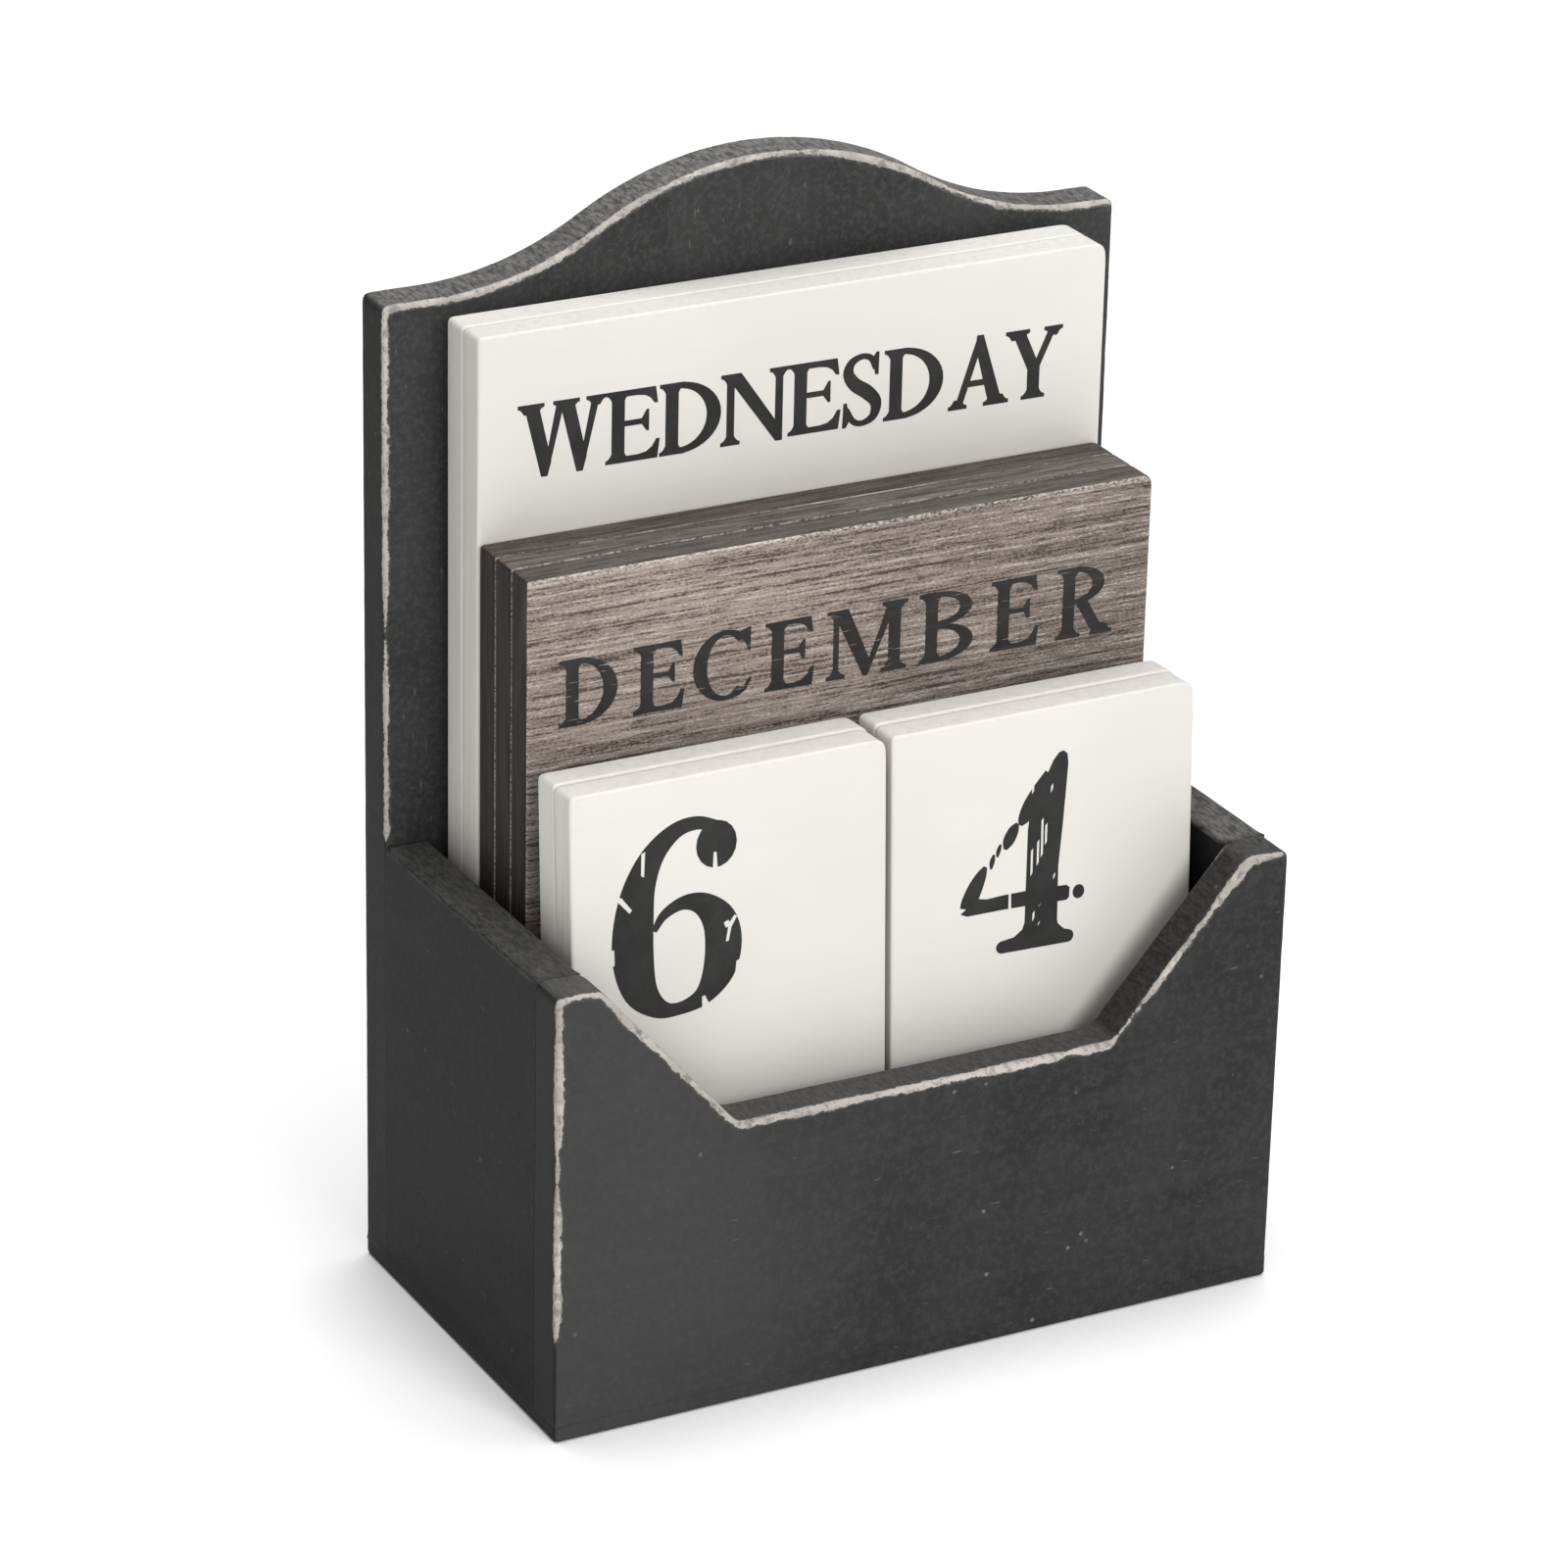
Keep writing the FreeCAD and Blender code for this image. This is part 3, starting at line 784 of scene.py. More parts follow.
class CALENDAR_OT_ivory_tiles(Operator):
    """Build the two day tiles and the four digit tiles in satin ivory paint"""
    bl_idname = "calendar.ivory_tiles"
    bl_label = "Ivory tiles"

    def execute(self, context):
        sizes = context.scene.calendar_tiles
        paint = ivory_material(sizes)
        r = sizes.ivory_edge / MM
        for seed, node in enumerate(DAY_TILES + DIGIT_TILES):
            place, left, right, foot, top = tile_place(node)
            runs = polygon_runs([("bottom", left, foot), ("right", right, foot),
                                 ("top", right, top), ("left", left, top)])
            piece = slab(node + "_finish", runs, TILE_THICKNESS, place, lambda name, back: (r, 0.55),
                         corner_rounds=2, right_rounds=11, dip=sizes.paint_dip / MM, corner_wear=0.3,
                         seed=seed)
            stand_in_for(piece, node, node, "ivory_tile", paint)
        return {"FINISHED"}


class CALENDAR_OT_month_tiles(Operator):
    """Build the three month tiles with brushed grain cut into both faces"""
    bl_idname = "calendar.month_tiles"
    bl_label = "Weathered month tiles"

    def execute(self, context):
        sizes = context.scene.calendar_tiles
        face, rim = weathered_face_material(sizes), weathered_rim_material(sizes)
        for seed, node in enumerate(MONTH_TILES):
            piece = grained_tile(node + "_finish", node, sizes, seed)
            stand_in_for(piece, node, node, "weathered_tile", face, rim)
        return {"FINISHED"}


END_PALENESS_AND_SHADOW = (0.60, 1.0, 0.66)     # how far the sawn ends of the three tiles are paler, rear to front; the rear tile's smaller share is painted shadow from the day tiles
WHITENED = (0.2, 0.85, 1.1)       # whitewash left along their front edges
WHITE_REACH = 2.0                 # how far it reaches in from an edge
GRAIN_COLUMN = 1.5                # spacing of a month tile's points along the grain
NEAR_EDGE = (0.0, 0.12, 0.3, 0.5, 0.75, 1.1, 1.6, 2.2)
RIM_ROW = 1.0                     # and across its rim
NEAR_FACE = (0.0, 0.2, 0.45, 0.75)


def lines(low, high, pitch, close):
    """Grid lines from low to high, with extra ones at the given distances from both ends."""
    places = [low + d for d in close] + [high - d for d in reversed(close)]
    inner_low, inner_high = low + close[-1], high - close[-1]
    count = max(1, round((inner_high - inner_low) / pitch))
    places += [inner_low + (inner_high - inner_low) * i / count for i in range(1, count)]
    return sorted(places)


def grained_tile(name, node, sizes, seed):
    """A rounded tile whose two faces carry horizontal brushed grooves."""
    place, left, right, foot, top = tile_place(node)
    crisp, sanded, r = sizes.corner_radius / MM, sizes.sanded_corner / MM, sizes.month_edge / MM
    xs = lines(left, right, GRAIN_COLUMN, NEAR_EDGE)
    zs = lines(foot, top, sizes.groove_pitch / MM, NEAR_EDGE)
    ws = lines(0.0, TILE_THICKNESS, RIM_ROW, NEAR_FACE)
    depth = sizes.groove_depth / MM
    nx, nz, nw = len(xs) - 1, len(zs) - 1, len(ws) - 1

    mesh = bmesh.new()
    groove_layer, wear_layer, end_layer = new_layers(mesh, "groove", "wear", "end")
    made = {}

    def grooves(x, z, side):
        level = noise.noise(Vector((x * 0.035, z * 1.9, seed * 9.0 + side)))
        level += 0.55 * noise.noise(Vector((x * 0.30, z * 2.3, seed * 9.0 + side + 40.0)))
        return min(1.0, max(0.0, 0.40 - level * 1.4))

    def vertex(i, j, k):
        key = (i, j, k)
        if key in made:
            return made[key]
        x, z, w = xs[i], zs[j], ws[k]
        corner = crisp if x < (left + right) / 2 else sanded
        mid_x = min(max(x, left + corner), right - corner)
        mid_z = min(max(z, foot + corner), top - corner)
        off = Vector((x - mid_x, z - mid_z))
        gap = min(x - left, right - x, z - foot, top - z)
        inward = Vector((0.0, 0.0))
        if off.length > 1e-9:
            reach = max(abs(off.x), abs(off.y))
            inward = -off.normalized()
            x, z = mid_x - inward.x * reach, mid_z - inward.y * reach
        on_face = k in (0, nw)
        from_face = min(w, TILE_THICKNESS - w)
        cut = 0.0
        if on_face and gap < r:
            angle = (1 - gap / r) * math.pi / 4
        elif not on_face and from_face < r:
            angle = math.pi / 2 - (1 - from_face / r) * math.pi / 4
        else:
            angle = 0.0 if on_face else math.pi / 2
        if on_face and gap >= r:
            inset, sunk = 0.0, 0.0
        else:
            inset = r * (1 - math.sin(angle)) - (gap if on_face else 0.0)
            sunk = r * (1 - math.cos(angle)) if (on_face or from_face < r) else from_face
        x, z = x + inward.x * inset, z + inward.y * inset
        if on_face:
            cut = grooves(x, z, k)
            sunk += depth * cut
        w = sunk if w < TILE_THICKNESS / 2 else TILE_THICKNESS - sunk
        vert = mesh.verts.new(place(x * MM, z * MM, w * MM))
        vert[groove_layer] = cut
        from_side = min(xs[i] - left, right - xs[i])
        along_top = 1.0 - (top - zs[j]) / WHITE_REACH
        along_side = (0.66 if node.endswith("front") else 0.0) - from_side / WHITE_REACH
        vert[wear_layer] = max(0.0, along_top, along_side) * (WHITENED[seed] if k == 0 else 0.2)
        # The rear tile's ends are painted darker: painted shadow from the day tiles.
        vert[end_layer] = END_PALENESS_AND_SHADOW[seed] if j in (0, nz) else 0.0
        made[key] = vert
        return vert

    def quad(corners, material):
        mesh.faces.new([vertex(*c) for c in corners]).material_index = material

    for k in (0, nw):
        for i in range(nx):
            for j in range(nz):
                quad(((i, j, k), (i + 1, j, k), (i + 1, j + 1, k), (i, j + 1, k)), 0)
    for k in range(nw):
        for i in range(nx):
            for j in (0, nz):
                quad(((i, j, k), (i + 1, j, k), (i + 1, j, k + 1), (i, j, k + 1)), 1)
        for j in range(nz):
            for i in (0, nx):
                quad(((i, j, k), (i, j + 1, k), (i, j + 1, k + 1), (i, j, k + 1)), 1)
    return to_object(mesh, name)


class CALENDAR_OT_pins(Operator):
    """Give the buried panel pins bright drawn steel"""
    bl_idname = "calendar.pins"
    bl_label = "Panel pins"

    def execute(self, context):
        steel = pin_material()
        for node in ("front_pins", "back_pins", "base_pins"):
            dressed(node, steel)
        return {"FINISHED"}


# --------------------------------------------------------------------------
# Lettering: roman capitals and old-style figures of one's own drawing
# --------------------------------------------------------------------------
# Width of stems, of hairlines and of serifs, and how wide the letters are drawn
DAY_STYLE = (0.184, 0.088, 0.085, 1.0)
MONTH_STYLE = (0.200, 0.072, 0.110, 1.26)
FIGURE_STYLE = (0.18, 0.06, 0.10, 1.0)
DAY_GAP, MONTH_GAP = -0.006, 0.20            # between letters


class Pen:
    """Draws a letter as overlapping flat shapes, in units of the letter's height."""

    def __init__(self, stem, hair, serif, wide):
        self.stem, self.hair, self.serif, self.wide = stem, hair, serif, wide
        self.ink, self.chips = [], []

    def shape(self, *points):
        self.ink.append([Vector(p) for p in points])

    def chip(self, *points):
        self.chips.append([Vector(p) for p in points])

    def bar(self, x0, y0, x1, y1):
        self.shape((x0, y0), (x1, y0), (x1, y1), (x0, y1))

    def slant(self, x0, y0, x1, y1, width):
        """A stroke cut level at both ends; x0 and x1 are its left edge at y0 and y1."""
        self.shape((x0, y0), (x0 + width, y0), (x1 + width, y1), (x1, y1))

    def foot(self, x0, x1, y, up=1, left=None, right=None):
        """A bracketed serif on a stroke that spans x0 to x1 where it ends at y."""
        left = self.serif if left is None else left
        right = self.serif if right is None else right
        thick, bracket = 0.052, 0.085
        curve = [(k, thick + bracket * k ** 2.2) for k in (0.0, 0.35, 0.65, 0.85, 1.0)]
        points = [(x0 - left, y), (x1 + right, y)]
        points += [(x1 + right * (1 - k), y + up * h) for k, h in curve]
        points += [(x0 - left * (1 - k), y + up * h) for k, h in reversed(curve)]
        self.shape(*points)

    def post(self, x, width=None, high=True, right=None):
        """An upright stem with a serif at its foot and, if high, at its top."""
        width = self.stem if width is None else width
        self.bar(x, 0.0, x + width, 1.0)
        self.foot(x, x + width, 0.0)
        if high:
            self.foot(x, x + width, 1.0, -1, right=right)

    def hanging(self, x, width, low):
        """A stem from the top down to low, with a serif at its top."""
        self.bar(x, low, x + width, 1.0)
        self.foot(x, x + width, 1.0, -1)

    def ring(self, cx, cy, rx, ry, thick, thin, start=0, end=360):
        """Between two ellipses: thick at the sides and thin at top and bottom."""
        count = max(6, int(abs(end - start) / 9))
        angles = [math.radians(start + (end - start) * i / count) for i in range(count + 1)]

        def at(angle, way):
            return (cx + (rx + way * thick / 2) * math.cos(angle),
                    cy + (ry + way * thin / 2) * math.sin(angle))

        for a, b in zip(angles, angles[1:]):
            self.shape(at(a, -1), at(a, 1), at(b, 1), at(b, -1))

    def sweep(self, *points):
        """A stroke through points of x, y and width, on a smooth curve."""
        knots = [Vector(p) for p in points]
        knots = [knots[0] * 2 - knots[1]] + knots + [knots[-1] * 2 - knots[-2]]
        path = []
        for a, b, c, d in zip(knots, knots[1:], knots[2:], knots[3:]):
            for t in (0.0, 0.2, 0.4, 0.6, 0.8):
                path.append(0.5 * (2 * b + (c - a) * t + (2 * a - 5 * b + 4 * c - d) * t ** 2
                                   + (3 * b - a - 3 * c + d) * t ** 3))
        path.append(knots[-2])
        sides = []
        for i, point in enumerate(path):
            way = (path[min(i + 1, len(path) - 1)] - path[max(i - 1, 0)]).xy.normalized()
            out = Vector((-way.y, way.x)) * point.z / 2
            sides.append((point.xy + out, point.xy - out))
        for (a, b), (c, d) in zip(sides, sides[1:]):
            self.shape(a, b, d, c)

    def ball(self, cx, cy, rx, ry=None):
        ry = rx if ry is None else ry
        turns = [math.radians(20 * i) for i in range(18)]
        self.shape(*[(cx + rx * math.cos(a), cy + ry * math.sin(a)) for a in turns])

    def arm(self, x0, x1, y, up, beak=0.20):
        """A level hairline from x0 to x1 that ends in a beak; up is -1 for an arm along the top."""
        back = x0 + (x1 - x0) * 0.55
        tip, hair = (x1 - x0) * 0.10, self.hair
        self.bar(x0, min(y, y + up * hair), x1 - tip / 2, max(y, y + up * hair))
        self.shape((back, y), (x1 - tip / 2, y), (x1, y + up * beak), (x1 - tip * 0.75, y + up * beak),
                   (x1 - tip * 1.6, y + up * (hair + (beak - hair) * 0.45)),
                   (x1 - tip * 2.8, y + up * (hair + (beak - hair) * 0.12)), (back, y + up * hair))


WIDTHS = {"A": 0.90, "B": 0.77, "C": 0.80, "D": 0.88, "E": 0.77, "F": 0.72, "G": 0.88, "H": 0.98, "I": 0.42,
          "J": 0.52, "L": 0.72, "M": 1.06, "N": 0.98, "O": 0.90, "P": 0.72, "R": 0.87, "S": 0.64, "T": 0.80,
          "U": 0.92, "V": 0.88, "W": 1.24, "Y": 0.85}


WIDE_STYLE = {"B": 0.94, "C": 0.96, "D": 0.84, "E": 0.84, "F": 0.86, "P": 0.90, "R": 0.87, "U": 0.92}
KERN = {"DE": 0.06, "EC": -0.06, "BE": 0.10, "ER": 0.10, "DA": 0.09, "AY": -0.05}


def draw_letter(pen, letter):
    """Adds one capital to the pen's ink and gives back its width."""
    w = WIDTHS[letter] * pen.wide * (WIDE_STYLE.get(letter, 1.0) if pen.wide > 1 else 1.0)
    s, h, o = pen.stem, pen.hair, pen.serif
    thin, last = h * 1.25, w - o        # last is where a letter's right stem ends
    if letter in "BDEFHILPR":
        pen.post(o)
    right = o + s
    if letter == "H":
        pen.post(last - s)
        pen.bar(right, 0.47, last - s, 0.47 + h)
    elif letter in "EFL":
        if letter in "EF":
            pen.arm(o, w - 0.03, 1.0, -1, 0.23)
            mid = o + s + (last - s) * 0.62
            pen.bar(right, 0.50, mid, 0.50 + h * 0.9)
            pen.shape((mid - 0.07, 0.50), (mid, 0.50 - 0.10), (mid + 0.035, 0.50 - 0.10),
                      (mid + 0.035, 0.50 + h + 0.11), (mid, 0.50 + h + 0.11), (mid - 0.07, 0.50 + h * 0.9))
        if letter in "EL":
            pen.arm(o, w, 0.0, 1, 0.27)
    elif letter == "D":
        pen.ring(right, 0.5, w - right - s * 0.56, 0.5 - h / 2, s * 1.12, h, -90, 90)
    elif letter == "B":
        pen.ring(right, 0.755, w - right - s * 0.62, 0.245 - h / 2, s, h, -90, 90)
        pen.ring(right, 0.27, w - right - s * 0.54, 0.27 - h / 2, s * 1.08, h, -90, 90)
    elif letter in "PR":
        pen.ring(right, 0.735, (w * 0.86 if letter == "R" else w) - right - s * 0.55, 0.265 - h / 2,
                 s * 1.05, h, -90, 90)
    if letter == "R":
        pen.slant(right + 0.02, 0.50, last - s * 0.95, 0.0, s * 1.02)
        pen.foot(last - s * 0.95, last + s * 0.07, 0.0, 1, o * 0.5, o)
    elif letter in "CG":
        pen.ring(w * 0.54, 0.5, w * 0.54 - s * 0.56, 0.515 - h / 2, s * 1.12, h, 48, 312)
        pen.shape((w * 0.80, 0.97), (w * 0.93, 1.01), (w * 0.96, 1.01), (w * 0.96, 0.66), (w * 0.93, 0.66),
                  (w * 0.86, 0.80), (w * 0.76, 0.90))
        if letter == "C":
            pen.sweep((w * 0.72, 0.055, h * 1.2), (w * 0.86, 0.12, h), (w * 0.97, 0.27, h * 0.5))
        else:
            pen.bar(w - o * 0.6 - s, 0.05, w - o * 0.6, 0.42)
            pen.foot(w - o * 0.6 - s, w - o * 0.6, 0.46, -1, o, o * 0.6)
            pen.sweep((w * 0.70, 0.045, h), (w * 0.80, 0.07, h), (w * 0.90, 0.16, h))
    elif letter == "O":
        pen.ring(w / 2, 0.5, w / 2 - s * 0.56, 0.515 - h / 2, s * 1.12, h)
    elif letter == "S":
        spine = ((0.80, 0.78, h), (0.68, 0.93, h), (0.47, 0.97, h * 0.95), (0.24, 0.90, s * 0.62),
                 (0.17, 0.75, s * 0.86), (0.32, 0.59, s * 1.02), (0.60, 0.46, s * 1.08), (0.81, 0.30, s * 0.92),
                 (0.76, 0.11, s * 0.66), (0.52, 0.028, h * 0.95), (0.30, 0.07, h), (0.13, 0.25, h))
        pen.sweep(*[(x * w, y, width) for x, y, width in spine])
        for beak in (((0.78, 0.69), (0.86, 0.69), (0.87, 1.01), (0.80, 1.01), (0.72, 0.93)),
                     ((0.05, -0.01), (0.13, -0.01), (0.22, 0.09), (0.15, 0.34), (0.07, 0.34))):
            pen.shape(*[(x * w, y) for x, y in beak])
    elif letter == "T":
        pen.post((w - s) / 2, high=False)
        pen.arm(w / 2, w, 1.0, -1, 0.22)
        pen.arm(w / 2, 0.0, 1.0, -1, 0.22)
    elif letter == "J":
        pen.hanging(last - s, s, 0.18)
        pen.sweep((last - s / 2, 0.24, s), (last - s * 0.62, 0.08, s * 0.75), (w * 0.40, -0.03, h * 1.2),
                  (w * 0.16, 0.06, h * 1.3))
        pen.ball(w * 0.17, 0.11, 0.075)
    elif letter == "U":
        pen.hanging(o, s, 0.28)
        pen.hanging(last - thin, thin, 0.28)
        pen.sweep((o + s / 2, 0.30, s), (o + s * 0.72, 0.12, s * 0.82), (w * 0.50, 0.025, h * 1.5),
                  (last - thin, 0.13, thin), (last - thin / 2, 0.30, thin))
    elif letter == "N":
        pen.post(o, thin, right=0.0)
        pen.bar(last - thin, 0.0, last, 1.0)
        pen.foot(last - thin, last, 1.0, -1)
        pen.shape((o * 0.7, 1.0), (o * 0.7 + s * 1.25, 1.0), (last, 0.12), (last, -0.03),
                  (last - thin * 0.9, -0.03))
    elif letter == "M":
        pen.post(o, thin, right=0.0)
        pen.post(last - s)
        middle = w * 0.49
        pen.shape((o * 0.8, 1.0), (o * 0.8 + s * 1.3, 1.0), (middle + thin, 0.16),
                  (middle + thin * 0.4, -0.01), (middle - thin * 0.4, -0.01))
        pen.shape((last - s, 1.0), (last, 1.0), (last - s * 0.8, 0.80), (middle + thin * 0.4, 0.0),
                  (middle - thin * 0.2, 0.06))
    elif letter in "VW":
        half = w if letter == "V" else w * 0.60
        for x in ((0.0,) if letter == "V" else (0.0, w - half)):
            low = x + half * 0.52
            pen.shape((x + o, 1.0), (x + o + s * 1.1, 1.0), (low + thin * 0.8, 0.18),
                      (low + thin * 0.3, -0.02), (low - thin * 0.5, -0.02))
            pen.foot(x + o, x + o + s * 1.1, 1.0, -1)
            pen.shape((x + half - o - thin, 1.0), (x + half - o, 1.0), (low + thin * 0.3, -0.02),
                      (low - thin * 0.3, 0.0))
        pen.foot(last - thin, last, 1.0, -1)
    elif letter == "Y":
        middle = (w - s) / 2
        pen.bar(middle, 0.0, middle + s, 0.44)
        pen.foot(middle, middle + s, 0.0)
        pen.slant(o * 0.9, 1.0, middle, 0.42, s * 1.05)
        pen.foot(o * 0.9, o * 0.9 + s * 1.05, 1.0, -1)
        pen.shape((last - thin, 1.0), (last, 1.0), (middle + s, 0.45), (middle + s * 0.35, 0.42))
        pen.foot(last - thin, last, 1.0, -1)
    elif letter == "A":
        top = w * 0.49
        pen.shape((o, 0.0), (o + thin, 0.0), (top + thin * 0.5, 0.93), (top - thin * 0.2, 1.02))
        pen.foot(o, o + thin, 0.0)
        pen.shape((last - s * 1.12, 0.0), (last, 0.0), (top + thin * 0.55, 1.02), (top - thin * 0.35, 1.02),
                  (top - thin * 0.5, 0.86))
        pen.foot(last - s * 1.12, last, 0.0)
        pen.bar(w * 0.30, 0.30, w * 0.70, 0.30 + h)
    return w


FIGURE_WIDTH = 0.67


def draw_figure(pen, figure):
    """Adds one old-style figure to the pen's ink and gives back its width."""
    if figure == "0":
        pen.ring(0.335, 0.5, 0.24, 0.465, 0.19, 0.065)
    elif figure == "1":
        pen.bar(0.26, 0.0, 0.44, 1.0)
        pen.sweep((0.36, 0.97, 0.07), (0.25, 0.88, 0.06), (0.10, 0.83, 0.05))
        pen.foot(0.26, 0.44, 0.0, 1, 0.16, 0.16)
    elif figure == "2":
        pen.ball(0.15, 0.75, 0.095)
        pen.sweep((0.09, 0.78, 0.06), (0.17, 0.92, 0.07), (0.33, 0.965, 0.08), (0.50, 0.87, 0.16),
                  (0.53, 0.71, 0.18), (0.43, 0.50, 0.13), (0.24, 0.26, 0.08), (0.10, 0.08, 0.08))
        pen.shape((0.04, 0.0), (0.60, 0.0), (0.64, 0.25), (0.60, 0.25), (0.54, 0.16), (0.36, 0.13),
                  (0.20, 0.18), (0.06, 0.11))
    elif figure in "35":
        pen.sweep((0.28 if figure == "3" else 0.14, 0.545, 0.05), (0.40, 0.575, 0.09), (0.53, 0.47, 0.16),
                  (0.57, 0.30, 0.19), (0.48, 0.11, 0.15), (0.33, 0.035, 0.07), (0.18, 0.06, 0.06),
                  (0.09, 0.17, 0.05))
        pen.ball(0.14, 0.20, 0.09)
        if figure == "3":
            pen.sweep((0.10, 0.85, 0.05), (0.22, 0.95, 0.07), (0.36, 0.965, 0.08), (0.49, 0.86, 0.16),
                      (0.49, 0.70, 0.15), (0.40, 0.585, 0.08), (0.28, 0.545, 0.05))
            pen.ball(0.15, 0.81, 0.09)
        else:
            pen.shape((0.13, 1.0), (0.56, 1.0), (0.52, 0.86), (0.17, 0.86))
            pen.shape((0.13, 1.0), (0.18, 1.0), (0.16, 0.53), (0.11, 0.53))
    elif figure in "69":
        pen.sweep((0.54, 0.93, 0.06), (0.44, 0.965, 0.068), (0.33, 0.945, 0.085), (0.22, 0.85, 0.12),
                  (0.145, 0.70, 0.165), (0.112, 0.52, 0.205), (0.108, 0.33, 0.21), (0.145, 0.16, 0.17),
                  (0.235, 0.055, 0.10), (0.335, 0.032, 0.066), (0.46, 0.07, 0.10), (0.545, 0.18, 0.17),
                  (0.573, 0.32, 0.19), (0.55, 0.45, 0.17), (0.47, 0.545, 0.115), (0.37, 0.572, 0.072),
                  (0.27, 0.53, 0.05), (0.215, 0.455, 0.03))
        pen.ball(0.54, 0.84, 0.105, 0.12)
        pen.chip((0.155, 0.86), (0.175, 0.87), (0.168, 0.74), (0.152, 0.75))
        pen.chip((0.02, 0.655), (0.05, 0.66), (0.105, 0.585), (0.092, 0.57))
        pen.chip((0.52, 0.72), (0.545, 0.72), (0.54, 0.80), (0.525, 0.80))
        pen.chip((0.46, -0.02), (0.52, -0.02), (0.475, 0.075), (0.46, 0.07))
        pen.chip((0.60, 0.42), (0.63, 0.46), (0.645, 0.45), (0.615, 0.40), (0.60, 0.33), (0.585, 0.33))
        pen.chip((0.575, 0.43), (0.60, 0.44), (0.61, 0.41), (0.585, 0.40))
        pen.chip((-0.01, 0.40), (0.012, 0.40), (0.014, 0.32), (-0.01, 0.31))
        pen.chip((0.64, 0.22), (0.70, 0.24), (0.70, 0.16), (0.63, 0.14))
        if figure == "9":
            turn = Vector((FIGURE_WIDTH, 1.0))
            pen.ink = [[turn - p for p in points] for points in pen.ink]
            pen.chips = [[turn - p for p in points] for points in pen.chips]
    elif figure == "4":
        pen.shape((0.355, 0.03), (0.535, 0.03), (0.538, 0.40), (0.560, 0.62), (0.575, 0.80), (0.585, 0.93),
                  (0.580, 0.98), (0.560, 1.0), (0.535, 0.995), (0.505, 0.96), (0.475, 0.90), (0.465, 0.80),
                  (0.385, 0.74), (0.370, 0.62))
        pen.shape((0.235, -0.005), (0.60, -0.015), (0.60, 0.052), (0.575, 0.060), (0.54, 0.095),
                  (0.53, 0.14), (0.36, 0.14), (0.345, 0.10), (0.30, 0.068), (0.235, 0.060))
        pen.ball(0.238, 0.028, 0.034, 0.033)
        pen.ball(0.597, 0.018, 0.030, 0.033)
        pen.sweep((0.50, 0.88, 0.10), (0.43, 0.80, 0.10), (0.38, 0.735, 0.09), (0.345, 0.68, 0.062),
                  (0.328, 0.652, 0.022))
        pen.shape((0.40, 0.76), (0.44, 0.80), (0.435, 0.845), (0.425, 0.845))
        pen.sweep((0.314, 0.665, 0.02), (0.292, 0.632, 0.058), (0.265, 0.580, 0.062), (0.248, 0.54, 0.02))
        pen.sweep((0.223, 0.572, 0.012), (0.212, 0.54, 0.024), (0.205, 0.508, 0.010))
        pen.sweep((0.188, 0.525, 0.012), (0.178, 0.49, 0.028), (0.172, 0.452, 0.012))
        pen.sweep((0.142, 0.470, 0.02), (0.120, 0.43, 0.058), (0.088, 0.37, 0.082), (0.058, 0.305, 0.088),
                  (0.045, 0.265, 0.080))
        pen.shape((0.010, 0.245), (0.045, 0.228), (0.24, 0.226), (0.40, 0.220), (0.585, 0.210),
                  (0.600, 0.225), (0.602, 0.275), (0.585, 0.290), (0.40, 0.300), (0.24, 0.302),
                  (0.15, 0.298), (0.10, 0.310))
        pen.ball(0.651, 0.243, 0.032, 0.037)
        for x, low, high in ((0.392, 0.37, 0.52), (0.425, 0.42, 0.56), (0.447, 0.46, 0.67),
                             (0.468, 0.52, 0.64), (0.405, 0.13, 0.19), (0.435, 0.10, 0.13),
                             (0.44, 0.20, 0.225), (0.515, 0.33, 0.37), (0.395, 0.80, 0.87),
                             (0.497, 0.79, 0.84)):
            pen.chip((x - 0.006, low), (x + 0.006, low + 0.02), (x + 0.008, high),
                     (x - 0.004, high - 0.015))
        pen.chip((0.268, 0.20), (0.284, 0.20), (0.282, 0.33), (0.270, 0.33))
    elif figure == "7":
        pen.shape((0.05, 0.72), (0.09, 0.72), (0.14, 0.85), (0.36, 0.87), (0.62, 0.93), (0.62, 1.0),
                  (0.05, 1.0))
        pen.sweep((0.60, 0.95, 0.07), (0.47, 0.72, 0.09), (0.36, 0.46, 0.14), (0.31, 0.22, 0.18),
                  (0.31, 0.0, 0.19))
    elif figure == "8":
        pen.ring(0.335, 0.755, 0.19, 0.215, 0.14, 0.06)
        pen.ring(0.335, 0.275, 0.235, 0.245, 0.18, 0.06)
    return FIGURE_WIDTH


def scratches(pen, random_source, width, count, long, thick, level):
    """Thin slivers of missing ink, level for wood grain or upright for worn paint."""
    for _ in range(count):
        x, y = random_source.uniform(0, width), random_source.uniform(0.02, 0.98)
        a, b = random_source.uniform(0.3, 1.0) * long / 2, random_source.uniform(0.5, 1.0) * thick / 2
        if not level:
            a, b = b, a
        skew = random_source.uniform(-0.3, 0.3) * min(a, b)
        pen.chip((x - a, y + skew), (x, y - b), (x + a, y - skew), (x, y + b))


def drawn_word(word, style, random_source):
    """The shapes of a word, the slivers missing from it, and its width."""
    pen = Pen(*style)
    gap = MONTH_GAP if style is MONTH_STYLE else DAY_GAP
    x = 0.0
    for letter, following in zip(word, word[1:] + " "):
        marks = len(pen.ink)
        if letter.isdigit():
            advance = draw_figure(pen, letter)
        else:
            advance = draw_letter(pen, letter) + gap + KERN.get(letter + following, 0.0)
        for points in pen.ink[marks:]:
            for point in points:
                point.x += x
        x += advance
    width = x if word.isdigit() else x - gap
    if word.isdigit():
        if word not in "469":
            scratches(pen, random_source, width, 16, 0.10, 0.016, False)
    elif style is MONTH_STYLE:
        scratches(pen, random_source, width, 90, 0.45, 0.020, True)
    return pen.ink, pen.chips, width


